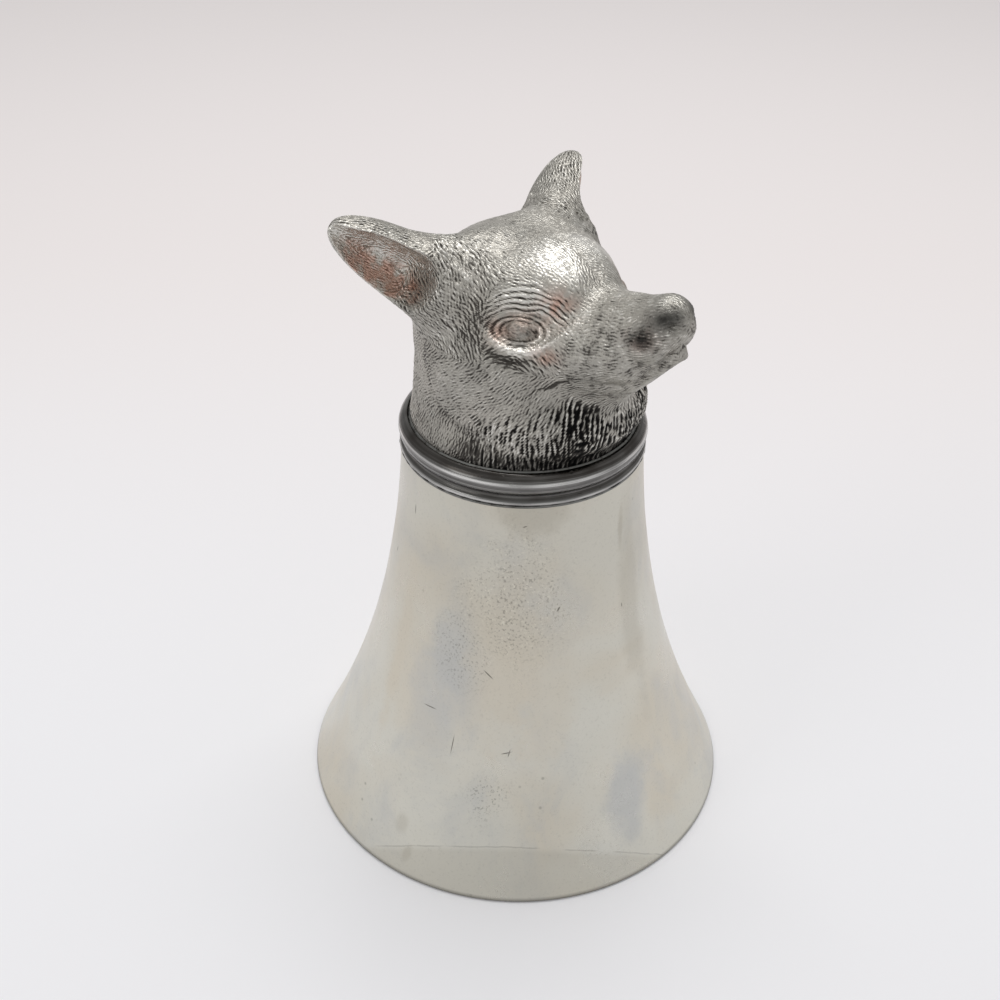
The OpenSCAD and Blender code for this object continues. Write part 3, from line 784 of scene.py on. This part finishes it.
def face(p, head, neck_r):
    """The skull with ear roots, muzzle, jaw, lips, whisker pads, brows and nose joined to it."""
    reach, high, top = head.muzzle_reach, head.muzzle_h, head.skull_h
    return all_joined(
        skull(p, head, neck_r),
        (stick(p, (-3.5, 5.5, top + 7), (-6.5, 13, top + 7.8), 2.8, 2.8), 4.5),
        (stick(p, (11, 0, 18.7), (reach, 0, high), 6.9, head.muzzle_r), 4),
        (stick(p, (12, 0, 12), (head.chin_reach, 0, head.chin_h), 7, head.chin_r), 2.5),
        (stick(p, (6, 6.6, 15.5), (21, 3.4, 20), 6, 3.6), 4),
        (egg(p, (reach - 2.2, 2.3, high - 2.3), (4.4, 2.9, 3.2)), 1.4),
        (stick(p, (11.4, 2.8, 26.2), (2, 7.8, 26.4), 1.7, 1.4), 4.5),
        (egg(p, (reach + 0.4, 0, high + 0.9), (2.3, head.nose_w / 2, 2.4)), 3))


def ear_length(p, head):
    """Length of the ear on the side of each point."""
    return np.where(p[..., 1] < 0, head.right_ear_len, head.left_ear_len)


def ear_halves(h, long, head):
    """Half width, half thickness and backward bow at height h along an ear of the given length."""
    t = np.clip(h / long, 0, 0.999)
    foot = np.clip(1 + h / 8, 0.25, 1)
    wide = (head.ear_w * np.sqrt(1 - t ** 3.2) * (1 - 0.25 * t) + 0.3) * foot
    thick = (head.ear_t * np.sqrt(1 - t ** 4) * (1 - 0.4 * t) + 0.3) * foot
    return wide, thick, head.ear_bow * np.sin(np.pi * t)


def ear_floor(v, h, long, head):
    """Level of the open face in half thicknesses: a trough, the square of the place v across, which closes
    by a cube at the root and eases out towards the tip."""
    lift = 0.011 * np.maximum(head.ear_root + 5.0 - h, 0) ** 3 + 0.5 * ramp(h / long, 0.6, 1.0)
    return 1.3 * (v - 0.08) ** 2 - head.ear_scoop + lift


def ear_form(p, long, head):
    """Distances to the ear's body and above its open face, and the softness of that face's edge."""
    e = p - EAR_SEAT
    h, x = e @ EAR_DIR, e @ EAR_ACROSS
    w, t, bow = ear_halves(h, long, head)
    y = e @ EAR_FACE + bow
    k = np.hypot(x / w, y / t) + 1e-6
    body = k * (k - 1) / (np.hypot(x / w ** 2, y / t ** 2) + 1e-6)
    body = np.maximum(body, np.maximum(h - long, -h - 6))
    soft = 0.6 + 2 * ramp(h, head.ear_root + 6, head.ear_root + 1)
    return body, y - t * ear_floor(x / w, h, long, head), soft


def ear_rays(h, angles, long, head):
    """Starts and directions of the rays to an ear's skin: each leaves midway between the ear's back and its
    open face, towards the ellipse that the ear is cut from."""
    wide, thick, bow = (k[:, None] for k in ear_halves(h, long, head))
    v = 0.7 * np.cos(angles)
    back = np.sqrt(1 - v ** 2)
    y = thick * (np.minimum(ear_floor(v, h[:, None], long, head), back) - back) / 2

    def laid(across, out):
        return across[..., None] * EAR_ACROSS + out[..., None] * EAR_FACE

    way = laid(0.3 * wide * np.cos(angles), thick * np.sin(angles) - y)
    start = EAR_SEAT + h[:, None, None] * EAR_DIR + laid(wide * v, y - bow)
    return start, way / np.linalg.norm(way, axis=-1, keepdims=True)


def fox(p, head, neck_r):
    """The whole head with ears, eyes, mouth line and nostrils; the two sides mirror each other."""
    q = one_side(p)
    body, above, soft = ear_form(q, ear_length(p, head), head)
    form = joined(face(q, head, neck_r), body, 3.4)
    form = -joined(-form, -above, soft)
    e = q - EYE
    x, y, w = e @ EYE_ALONG, e @ EYE_UP, e @ EYE_OUT
    k = (x / 4.6) ** 2 + ((y - 0.12 * x) / 2.9) ** 2
    form = form + head.socket_cut * np.exp(-k ** 1.3) * hump(w, 5)
    ball = np.sqrt(x ** 2 + y ** 2 + (w + 0.85 * head.eye_r) ** 2) - head.eye_r
    form = joined(form, ball, 0.4)
    a, b, z = q[..., 0], q[..., 1], q[..., 2]
    d = a - head.chin_reach + 5.4
    line = head.chin_h - 7.2 + 0.65 * (d + np.sqrt(d * d + 1))
    gate = (0.6 + 0.8 * ramp(a, 28.0, 30.5)) / (1 + np.exp(np.clip((20 - a) * 1.2, -40, 40)))
    form = form + head.mouth_cut * hump(z - line, 0.7) * gate
    nostril = spot(a, z, (head.muzzle_reach + 2.2, head.muzzle_h + 1.1), (1.3, 0.7))
    return form + head.nostril_cut * nostril * hump(b - 0.41 * head.nose_w, 0.8)


def reach_out(form, start, direction):
    """Length along each ray at which the form is met: growing steps outwards, then repeated halving."""
    low = np.zeros(direction.shape[:-1])
    high = np.full(low.shape, RAY_START)
    inside = np.ones(low.shape, bool)
    for _ in range(RAY_STEPS):
        v = form(start + direction * high[..., None])
        inside &= (v <= 0) & (high < RAY_LIMIT)
        if not inside.any():
            break
        low = np.where(inside, high, low)
        high = np.where(inside, high + np.maximum(RAY_STEP, -0.8 * v), high)
    for _ in range(RAY_HALVINGS):
        mid = (low + high) / 2
        out = form(start + direction * mid[..., None]) > 0
        high, low = np.where(out, mid, high), np.where(out, low, mid)
    return (low + high) / 2


def slope(form, p):
    """Outward direction of the form's surface from small differences."""
    d = 0.05
    g = np.stack([form(p + d * np.eye(3)[k]) - form(p - d * np.eye(3)[k]) for k in range(3)], -1)
    return g / np.maximum(np.linalg.norm(g, axis=-1, keepdims=True), 1e-9)


def packed(count, spots, low, high):
    """Values from low to high, closer together near the named spots: the running sum of a density."""
    t = np.linspace(low, high, 4001)
    density = 1 + sum(gain * hump(t - middle, width) for middle, width, gain in spots)
    total = np.concatenate([[0], np.cumsum((density[1:] + density[:-1]) / 2)])
    return np.interp(np.linspace(0, total[-1], count), total, t)


def section(s, back, tip, mid):
    """Middle of each section plane and its upward direction: level at the foot, fanned round a pivot
    under the jaw, then moved along the muzzle."""
    k = np.clip((s - FOOT_END) / (FAN_END - FOOT_END), 0, 1)
    u = np.stack([-np.cos(TURN * k), np.sin(TURN * k)], -1)
    fan = PIVOT + u * (REACH_LOW + (back + REACH_HIGH - REACH_LOW) * k)[:, None]
    low = np.stack([0 * s, PIVOT[1] * s / FOOT_END], -1)
    far = mid + (tip - mid) * np.sin(np.pi / 2 * np.clip((s - FAN_END) / (1 - FAN_END), 0, 1))[:, None]
    centre = np.where((s <= FOOT_END)[:, None], low, np.where((s <= FAN_END)[:, None], fan, far))
    return np.stack([centre[:, 0], 0 * s, centre[:, 1]], -1), u


def head_rings(form, s, angles, back, tip, mid, foot_r):
    """Rings of points where rays in the section planes meet the form; the neck's foot is an exact round."""
    centre, up = section(s, back, tip, mid)
    ca, sa = np.cos(angles), np.sin(angles)
    d = np.stack([up[:, 0, None] * ca, 0 * s[:, None] + sa, up[:, 1, None] * ca], -1)
    start = np.broadcast_to(centre[:, None], d.shape)
    r = reach_out(form, start, d)
    round_off = np.where(s <= FOOT_END, ramp(centre[:, 2], 0.7, 4.2), 1.0)[:, None]
    return start + d * (foot_r + (r - foot_r) * round_off)[..., None]


def lay(normal, towards):
    """The given direction laid flat on the surface."""
    t = towards - normal * np.sum(normal * towards, -1, keepdims=True)
    return t / np.maximum(np.linalg.norm(t, axis=-1, keepdims=True), 1e-6)


def fur_map(p, n):
    """Which way the fur lies: directions for crown, temple, cheek, neck, muzzle and the rings round the
    eye, weighted by place and averaged by doubled angles, so opposite directions agree. Also the zone
    weights and the place of each point on the head and round the eye."""
    side = np.where(p[..., 1] < 0, -1.0, 1.0)
    q, m = p.copy(), n.copy()
    q[..., 1] *= side
    m[..., 1] *= side
    a, b, z = q[..., 0], q[..., 1], q[..., 2]
    e = q - EYE
    x, y = e @ EYE_ALONG, e @ EYE_UP
    near = np.exp(-((x - 0.5) / 6.0) ** 4 - ((y - 0.5) / 6.0) ** 4) * (b > 2)
    muzzle = ramp(a, 14.5, 18.5) * ramp(z, 11.0, 14.0)
    low = ramp(z, 8.5, 4.0) * (1 - muzzle)
    cheek = ramp(z, 18.5, 15.0) * (1 - low) * (1 - muzzle)
    upper = (1 - cheek) * (1 - low) * (1 - muzzle)
    temple = upper * ramp(b, 6.5, 10.5)
    crown = upper - temple
    ring = -2 * (x - 0.3)[..., None] * 0.09 * EYE_UP + EYE_ALONG
    flows = ((crown, np.array([-1.0, -0.35, 0.0])), (temple, np.array([-1.0, 0.0, 0.8])),
             (cheek, np.array([-0.55, 0.0, -0.8])), (low, np.array([0.0, 0.0, 1.0])),
             (muzzle, np.array([0.9, 0.0, 0.42])), (2.5 * near, ring))
    e1 = lay(m, np.array([0.31, 0.2, 0.93]))
    e2 = np.cross(m, e1)
    cos2 = sin2 = 0.0
    for weight, way in flows:
        t = lay(m, way)
        c, s = np.sum(t * e1, -1), np.sum(t * e2, -1)
        cos2, sin2 = cos2 + weight * (c * c - s * s), sin2 + weight * 2 * c * s
    turn = np.arctan2(sin2, cos2) / 2 + 0.30 * cloud(q, 4.0, 31)
    across = e2 * np.cos(turn)[..., None] - e1 * np.sin(turn)[..., None]
    across[..., 1] *= side
    zones = {"crown": crown, "temple": temple, "cheek": cheek, "low": low, "muzzle": muzzle, "near": near}
    return across, zones, (a, b, z, x, y)


def eye_marks(p, a, b, x, y):
    """Carving round the eye. Wrinkles of the brow are a wave of the height above a parabola, with broad
    crests and narrow dips; lids are a wave of the distance from an oval; pouch and under are ridges along
    parabolas; hollow, dim and warm are soft spots, dim being painted shade behind the eye and warm a
    painted warm reflection; calm is 0 over the eye and 1 away from it."""
    side = ramp(b, 2.0, 4.5) * ramp(a, 0.0, 3.0)
    arch = y + 0.07 * (x - 0.4) ** 2 + 0.50 * cloud(p, 2.2, 41) + 0.14 * cloud(p, 0.9, 42)
    brow = ramp(arch, 2.3, 3.0) * ramp(arch, 7.4, 5.5) * hump(x - 0.2, 6.0) * side
    dip = 0.5 - 0.5 * np.cos(2 * np.pi * (arch - 0.2) / WRINKLE_GAP)
    ring = np.hypot((x + 0.3) / 2.5, (y + 0.3) / 1.4) + 0.05 * cloud(p, 1.1, 44)
    lid = -np.cos(2 * np.pi * (ring - 1.06) / LID_GAP) * ramp(ring, 0.92, 1.02) * ramp(ring, 2.2, 1.4)
    return SimpleNamespace(
        arch=arch, brow=brow, wrinkle=(1 - 2 * dip ** 2) * brow,
        lid=lid * side * (0.75 + 0.25 * ramp(y, -1.0, 0.5)) * (0.9 + 0.3 * cloud(p, 1.4, 45)),
        ball=ramp(ring, 1.0, 0.4) * side,
        pouch=hump(y + 3.3 - 0.085 * (x - 0.1) ** 2, 0.62) * hump(x - 0.1, 4.8) * side,
        under=hump(y + 4.8 - 0.09 * (x + 0.8) ** 2, 0.8) * hump(x + 1.3, 3.4) * side,
        hollow=(spot(x, y, (5.6, 2.9), (1.6, 1.6)) + 0.7 * spot(x, y, (-5.4, 1.2), (1.5, 2.2))) * side,
        calm=1 - spot(x, y, (-0.3, -0.3), (3.2, 2.2)) * side,
        # Painted shade behind the eye
        dim=spot(x, y, (-6.5, 0.8), (2.6, 3.4)) * side,
        # warm: spots of painted warm reflection
        warm=side * (spot(x, y, (5.0, 3.6), (2.4, 2.0)) + 0.8 * spot(x, y, (4.2, -3.6), (1.8, 1.3))
                     + 0.7 * spot(x, y, (-3.6, -0.8), (1.6, 1.5)) + 0.5 * spot(x, y, (0, 0.5), (3.5, 2.2))))


def nose_marks(a, b, z):
    """Dark places on the muzzle: the nostril and its core, the whisker pad and the dusk round the nose."""
    beside = ramp(b, 0.3, 1.3)
    return SimpleNamespace(
        nostril=spot(a, z - 0.3 * (a - 29.0), (29.0, 28.2), (2.8, 1.4)) * beside,
        core=spot(a, z, (28.4, 28.1), (1.5, 0.8)) * beside,
        whisker=spot(a, z, (26.6, 24.8), (1.9, 1.6)) * ramp(b, 2.0, 3.2),
        dusk=spot(a, z, (29.2, 27.2), (2.4, 2.6)) * (0.5 + 0.5 * ramp(b, 0.5, 1.8)))


def chest_marks(p, across, a, b, z):
    """Ragged chest fur: front is where it lies, furrow is the deep part of long strokes, which crowd in the
    main tuft, and crest is their raised part."""
    long = strokes(p * [1, 1, 0.5], across, 0.72, 1.0, 71) + 0.55 * cloud(p, 0.6, 75)
    main = hump(np.degrees(np.arctan2(b, a)) - 21 + 9 * cloud(p, 2.6, 76), 15)
    front = ramp(a, 3.0, 9.0) * ramp(z + 1.8 * cloud(p, 2.2, 73) - 2.5 * main, 10.5, 6.0)
    furrow = ramp(long + 0.62 * (1 - main), 0.35, -0.25) * front * ramp(cloud(p, 2.4, 72) + main, -0.8, 0.0)
    return SimpleNamespace(front=front, furrow=furrow, crest=front * ramp(long, 0.15, 0.6))


def coat(p, across, zone, eye):
    """Height of the fur: coarse and fine strokes, each zone with its own share of both, quiet round the
    eye."""
    coarse = np.tanh(1.7 * strokes(p, across, 0.66, 0.8, 51))
    fine = np.tanh(1.5 * strokes(p, across, 0.50, 0.6, 61))
    fur = sum(zone[key] * (c * coarse + f * fine) for key, (c, f) in FUR_SHARES.items())
    quiet = (1 - 0.85 * zone["near"] * ramp(eye.arch, -6.0, 1.0)) * eye.calm
    return fur * quiet * (0.8 + 0.5 * cloud(p, 1.3, 77))


def carve(p, n, head):
    """Height of the carving on the head, in millimetres, the direction across the fur, and the values that
    the material reads: relief_and_light lightens crests and darkens hollows and carries painted highlights
    and painted shade; patina_and_shade blackens, in furrows and nostrils and as a painted reflection at the
    foot of the chest; warm_reflection gives a painted warm reflection; fur and bald say how much hair and
    blotch show."""
    across, zone, (a, b, z, x, y) = fur_map(p, n)
    eye, nose, chest = eye_marks(p, a, b, x, y), nose_marks(a, b, z), chest_marks(p, across, a, b, z)
    fur = head.fur * coat(p, across, zone, eye)
    crease = hump(z - 15.2 - 0.55 * (a - 16.0) - 0.4 * cloud(p, 1.5, 43), 0.35)
    crease = crease * hump(a - 15.3, 2.0) * (b > 3)
    oval = np.hypot((a - 7.5) / 11.5, (z - 14.5) / 9.0) + 0.03 * cloud(p, 1.6, 74)
    ruff = ramp(z, 20.5, 16.0) * ramp(b, 4.0, 8.0) * ramp(a, 11.0, 6.0)
    step, gully = ruff * ramp(oval, 1.07, 0.95), ruff * hump(oval - 1.06, 0.06)
    height = fur + head.fur * (0.12 * eye.wrinkle + 0.13 * eye.lid - 0.20 * chest.furrow) \
        + 0.14 * eye.ball + 0.50 * eye.pouch - 0.40 * eye.under - 0.35 * eye.hollow \
        - 0.16 * crease + 0.30 * step - 0.05 * gully
    # Painted highlight on the forehead, on both sides
    bright = spot(a, b, (9.3, 3.7), (5.0, 3.6)) * ramp(z, 26.0, 29.0)
    # Painted shade behind the eye and low on the chest's front
    dim = eye.dim + ramp(z, 5.5, 2.5) * ramp(a, 0.0, 5.0)
    # Tone from the relief: crests lighter and hollows darker, the dark under the pouch and in the eye's
    # hollows partly painted shade; with the painted highlight, the painted shade, and faces that look up
    # painted lighter, as if lit from above
    relief_and_light = (3.0 + 2.0 * zone["temple"]) * fur + eye.wrinkle + 0.15 * eye.brow + 0.65 * eye.lid \
        - 0.10 * eye.ball + 0.9 * eye.pouch - 0.65 * eye.under - 0.35 * eye.hollow - 0.8 * crease \
        - 1.2 * chest.furrow + 0.6 * chest.crest - 0.15 * gully + 0.55 * bright - 0.45 * dim \
        - 0.15 * nose.nostril + 0.13 * ramp(n[..., 2], 0.3, 0.9) - 0.12 + 0.16 * cloud(p, 3.2, 46)
    # Blackest: patina in the chest's carved furrows, and low on the chest's front a painted reflection of
    # dark surroundings; dark marks on the nose and whisker pad
    black = 1.5 * chest.furrow + 0.45 * chest.front * ramp(z, 4.0, 0.5) + 0.42 * nose.nostril \
        + 0.18 * nose.core + 0.9 * nose.whisker + 0.35 * nose.dusk
    hair = (1 - 0.4 * zone["muzzle"]) * (1 - 0.4 * zone["near"]) * (1 - 0.2 * zone["crown"]) \
        * (1 - 0.7 * nose.nostril) * (0.5 + 0.5 * eye.calm)
    bald = (0.15 + 0.6 * zone["muzzle"] + 0.2 * zone["crown"]) * eye.calm * (1 - 0.7 * nose.nostril)
    values = {"relief_and_light": relief_and_light, "fur": hair, "bald": bald, "patina_and_shade": np.clip(black, 0, 1),
              "warm_reflection": np.clip(eye.warm + 0.5 * nose.whisker, 0, 1)}
    return height, across, values


def to_part(p, seat_z):
    """From [forward, side, up] at the neck's foot to the part's axes."""
    return np.stack([p[..., 1], -p[..., 0], p[..., 2] + seat_z], -1)


def to_part_way(v):
    """A direction from the head's axes to the part's."""
    return np.stack([v[..., 1], -v[..., 0], v[..., 2]], -1)


class STIRRUP_OT_head(bpy.types.Operator):
    """Casts the head: rays from a bent row of section planes meet the blended form, then it is carved."""
    bl_idname = "stirrup.head"
    bl_label = "Head casting"

    def execute(self, context):
        cup, head, look, _ = sizes()

        def casting(p):
            above = (one_side(p) - EAR_SEAT) @ EAR_DIR - head.ear_root
            sunk = fox(p, head, cup.neck_r) + SEAT_SINK * ramp(above, -0.1, 0.4)
            return np.maximum(sunk, above - SEAT_STUB)

        def lining(p):
            return skull(one_side(p), head, cup.neck_r) + head.wall

        mid = PIVOT + np.array([-math.cos(TURN), math.sin(TURN)]) * REACH_HIGH
        aim = unit(np.array([head.muzzle_reach, head.muzzle_h]) + NOSE_AIM - mid)
        far = reach_out(casting, np.array([[mid[0], 0.0, mid[1]]]), np.array([[aim[0], 0.0, aim[1]]]))[0]
        tip = mid + aim * far
        angles = packed(head.around + 1, RING_CROWDS, -np.pi, np.pi)[:-1]
        s = packed(head.along + 1, ROW_CROWDS, 0.0, 1.0)[:-1]
        outer = head_rings(casting, s, angles, 0.0, tip, mid, cup.neck_r)
        s_in = np.linspace(HOLLOW_END, 0.0, 14)
        inner = head_rings(lining, s_in, angles, HOLLOW_BACK, tip, mid, cup.neck_r - head.wall)
        normal = slope(casting, outer)
        height, across, values = carve(outer, normal, head)
        outer = outer + normal * (height * ramp(outer[..., 2], 0.0, 0.8))[..., None]
        rings = np.concatenate([inner, outer])[:, ::-1]
        last = section(np.array([HOLLOW_END]), HOLLOW_BACK, tip, mid)[0][0]
        piece = capped_skin("head_cast", to_part(rings, cup.seat_z), to_part(last, cup.seat_z),
                            to_part(np.array([tip[0], 0, tip[1]]), cup.seat_z))
        pad = np.zeros(inner.shape[0] * inner.shape[1])
        for name, field in values.items():
            label(piece, name, np.concatenate([pad, field[:, ::-1].ravel(), [0, field[-1].mean()]]))
        way = to_part_way(across[:, ::-1]).reshape(-1, 3)
        level = np.array([[1.0, 0, 0]])
        label(piece, "across", np.concatenate([np.repeat(level, len(pad), 0), way, level, level]))
        fit_in(piece, cast_paint(look), "cast_pewter", "head_casting")
        return {"FINISHED"}


class STIRRUP_OT_ears(bpy.types.Operator):
    """Casts both ears: rings across the ear's axis meet the blended form from the seat to the tip."""
    bl_idname = "stirrup.ears"
    bl_label = "Ears"

    def execute(self, context):
        cup, head, _, _ = sizes()
        paint = bpy.data.objects["head_cast"].data.materials[0]

        def form(p):
            return fox(p, head, cup.neck_r)

        k = np.linspace(0, 1, EAR_ROWS + 1)[:-1]
        angles = np.linspace(0, 2 * np.pi, EAR_COLS, endpoint=False)
        for side, name, node, long in ((-1.0, "right_ear_cast", "right_ear", head.right_ear_len),
                                       (1.0, "left_ear_cast", "left_ear", head.left_ear_len)):
            mirror = np.array([1.0, side, 1.0])
            h = head.ear_root + (long - head.ear_root) * np.sin(np.pi / 2 * k)
            wide, thick, bow = ear_halves(h, long, head)
            start, d = (v * mirror for v in ear_rays(h, angles, long, head))
            skin = start + d * reach_out(form, start, d)[..., None]
            foot = (EAR_SEAT + EAR_DIR * h[0] - EAR_FACE * (bow[0] + 0.4 * thick[0])) * mirror
            normal = slope(form, skin)
            cut, way, values = carve(skin, normal, head)
            flat = skin * mirror
            up = (flat - EAR_SEAT) @ EAR_DIR
            place = (flat - EAR_SEAT) @ EAR_ACROSS / wide[:, None]
            body, above, _ = ear_form(flat, long, head)
            open_face = ramp(above, -0.5, -0.1) * ramp((normal * mirror) @ EAR_FACE, -0.2, 0.3)
            across = np.cross(normal, lay(normal, EAR_DIR * mirror))
            hair = np.tanh(1.6 * strokes(skin, across, 0.52, 1.2, 81))
            tuft = np.tanh(1.6 * strokes(skin, across, 0.50, 0.6, 82))
            grain = hair * (1 - open_face) + tuft * open_face
            edge = hump(body, 0.6) * hump(above, 0.9)
            own = ramp(up, head.ear_root + 0.8, head.ear_root + 5.0)

            def tip_off(near, far):
                return ramp(h, long - near, long - far)[:, None]

            # low: painted warm reflection on the lower part of the open face
            low = ramp(place + 0.15 * cloud(skin, 2.0, 83), -0.1, 0.3) * open_face * tip_off(0.0, 5.0)
            # Painted shadow line under the ear's rim, over a shallow carved groove
            crease = hump(place + 0.62, 0.10) * open_face * tip_off(1.0, 5.0)
            mark = head.fur * (0.045 * grain - 0.03) - 0.12 * crease
            skin = skin + normal * (cut * (1 - own) + own * tip_off(0.0, 2.0) * mark)[..., None]
            # The open face is painted lighter, painted light in the hollow; the crease darker, a painted
            # shadow
            mine = {"relief_and_light": 0.42 * grain + 0.5 * edge - 0.9 * crease - 0.04 + 0.75 * open_face,
                    "fur": 0.9, "bald": 0.3, "patina_and_shade": 0.0, "warm_reflection": low}
            across = way * (1 - own[..., None]) + across * own[..., None]
            order = slice(None) if side < 0 else slice(None, None, -1)
            piece = capped_skin(name, to_part(skin[:, order], cup.seat_z), to_part(foot, cup.seat_z),
                                to_part(skin[-1].mean(0), cup.seat_z))
            for key, field in values.items():
                part = ramp(up, head.ear_root, head.ear_root + 1.5) if key == "warm_reflection" else own
                mixed = field * (1 - part) + mine[key] * part
                label(piece, key, np.concatenate([mixed[:, order].ravel(), [0, 0]]))
            across = to_part_way(across[:, order]).reshape(-1, 3)
            label(piece, "across", np.concatenate([across, [[1, 0, 0]] * 2]))
            fit_in(piece, paint, "cast_pewter", node)
        return {"FINISHED"}


# Stage

# Camera, from the fit to the photograph; the floor's half width and drop; where it changes its tone
CAMERA_AT = (-0.12580, -0.12580, 0.17915)
CAMERA_YAW, CAMERA_PITCH, CAMERA_ROLL = -0.01973, 0.60589, -0.01295
CAMERA_TURN = math.radians(-45.0)
FLOOR_HALF, FLOOR_DROP = 3000.0, 0.02
AWAY, FADE_M = (0.707, 0.707, 0.0), (-0.02, 0.24)


def camera_matrix():
    """The camera's place and turn: heading, then pitch down, then roll."""
    cy, sy = math.cos(CAMERA_YAW), math.sin(CAMERA_YAW)
    cp, sp = math.cos(CAMERA_PITCH), math.sin(CAMERA_PITCH)
    ahead = np.array([sy * cp, cy * cp, -sp])
    right = np.array([cy, -sy, 0.0])
    down = np.cross(ahead, right)
    cr, sr = math.cos(CAMERA_ROLL), math.sin(CAMERA_ROLL)
    right, down = cr * right + sr * down, -sr * right + cr * down
    c, s = math.cos(CAMERA_TURN), math.sin(CAMERA_TURN)
    turn = np.array([[c, -s, 0], [s, c, 0], [0, 0, 1]])
    m = np.eye(4)
    m[:3, :3] = turn @ np.stack([right, -down, -ahead], 1)
    m[:3, 3] = CAMERA_AT
    return Matrix(m.tolist())


def seen_directly(nodes):
    """1 for what the camera, a mirror or a glass shows, 0 for light that only falls on things."""
    path = nodes.node("LightPath", {}).outputs
    shown = nodes.math("ADD", path["Is Camera Ray"], path["Is Glossy Ray"], clamp=True)
    return nodes.math("ADD", shown, path["Is Transmission Ray"], clamp=True)


def floor_paint(stage):
    """Matt paper that fades to another tone behind the cup and glows a little where it is seen directly."""
    paper = bpy.data.materials.new("floor_paper")
    paper.use_nodes = True
    p = Nodes(paper.node_tree)
    place = p.node("TexCoord", {}).outputs["Object"]
    away = p.node("VectorMath", {0: place, 1: AWAY}, operation="DOT_PRODUCT").outputs["Value"]
    matt = p.node("BsdfDiffuse", {"Color": p.blend(p.spread(away, *FADE_M), stage.floor, stage.far_floor)})
    glow = p.node("Emission", {"Strength": p.times(seen_directly(p), stage.glow)})
    both = p.node("AddShader", {0: matt.outputs[0], 1: glow.outputs[0]})
    p.node("OutputMaterial", {"Surface": both.outputs[0]})
    return paper


def studio_sky(stage):
    """Light from all round, slightly stronger near the horizon than overhead."""
    world = bpy.data.worlds.new("studio")
    world.use_nodes = True
    p = Nodes(world.node_tree)
    up = p.node("SeparateXYZ", {0: p.node("TexCoord", {}).outputs["Generated"]}).outputs["Z"]
    back = p.node("Background", {"Strength": p.times(p.spread(up, -0.05, 0.45, 1.9, 1.72), stage.sky)})
    p.node("OutputWorld", {"Surface": back.outputs[0]})
    return world


def soft_light(name, place, size, power, target=(0.0, 0.0, 0.06)):
    """A square soft lamp that faces the object."""
    lamp = bpy.data.lights.new(name, "AREA")
    lamp.shape, lamp.size, lamp.energy = "SQUARE", size, power
    made = bpy.data.objects.new(name, lamp)
    back = unit(np.array(place) - np.array(target))
    side = unit(np.cross((0.0, 1.0, 0.001), back))
    m = np.eye(4)
    m[:3, :3] = np.stack([side, np.cross(back, side), back], 1)
    m[:3, 3] = place
    made.matrix_world = Matrix(m.tolist())
    bpy.context.scene.collection.objects.link(made)


class STIRRUP_OT_stage(bpy.types.Operator):
    """Sets the pale floor, the soft light round the cup and the camera."""
    bl_idname = "stirrup.stage"
    bl_label = "Stage"

    def execute(self, context):
        *_, stage = sizes()
        scene = context.scene
        scene.view_settings.view_transform = "Standard"
        corners = FLOOR_HALF * np.array([(-1, -1, 0), (1, -1, 0), (1, 1, 0), (-1, 1, 0)])
        floor = fill_mesh("floor", corners - [0, 0, FLOOR_DROP], [np.array([[0, 1, 2, 3]])])
        floor.data.materials.append(floor_paint(stage))
        scene.world = studio_sky(stage)
        soft_light("overhead", (0.15, 0.10, 0.75), 0.45, stage.key)
        soft_light("side", (-0.75, 0.15, 0.45), 0.40, stage.side)
        data = bpy.data.cameras.new("camera")
        data.lens, data.sensor_width, data.clip_start = stage.lens, 36.0, 0.01
        camera = bpy.data.objects.new("camera", data)
        camera.matrix_world = camera_matrix()
        scene.collection.objects.link(camera)
        scene.camera = camera
        return {"FINISHED"}


class STIRRUP_PT_cup(bpy.types.Panel):
    """Lists the cup's pieces and settings."""
    bl_idname = "STIRRUP_PT_cup"
    bl_label = "Stirrup cup"
    bl_space_type = "VIEW_3D"
    bl_region_type = "UI"
    bl_category = "Stirrup cup"

    def draw(self, context):
        for operator in OPERATORS:
            self.layout.operator(operator.bl_idname)
        for group in (getattr(context.scene, key) for key in GROUPS):
            box = self.layout.box()
            for key in group.bl_rna.properties.keys():
                if key not in ("rna_type", "name"):
                    box.prop(group, key)


GROUPS = {"stirrup_cup": CupSizes, "stirrup_head": HeadSizes,
          "stirrup_finish": Finishes, "stirrup_stage": StageLook}
OPERATORS = (STIRRUP_OT_stage, STIRRUP_OT_bell, STIRRUP_OT_collar,
             STIRRUP_OT_seams, STIRRUP_OT_head, STIRRUP_OT_ears)
CLASSES = (*GROUPS.values(), *OPERATORS, STIRRUP_PT_cup)


def register():
    """Adds the classes and the settings."""
    for kind in CLASSES:
        bpy.utils.register_class(kind)
    for key, kind in GROUPS.items():
        setattr(bpy.types.Scene, key, PointerProperty(type=kind))


def unregister():
    """Takes the settings and the classes away."""
    for key in GROUPS:
        delattr(bpy.types.Scene, key)
    for kind in reversed(CLASSES):
        bpy.utils.unregister_class(kind)


def main():
    """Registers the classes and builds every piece."""
    register()
    bpy.ops.stirrup.stage()
    bpy.ops.stirrup.bell()
    bpy.ops.stirrup.collar()
    bpy.ops.stirrup.seams()
    bpy.ops.stirrup.head()
    bpy.ops.stirrup.ears()
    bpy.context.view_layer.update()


if __name__ == "__main__":
    main()
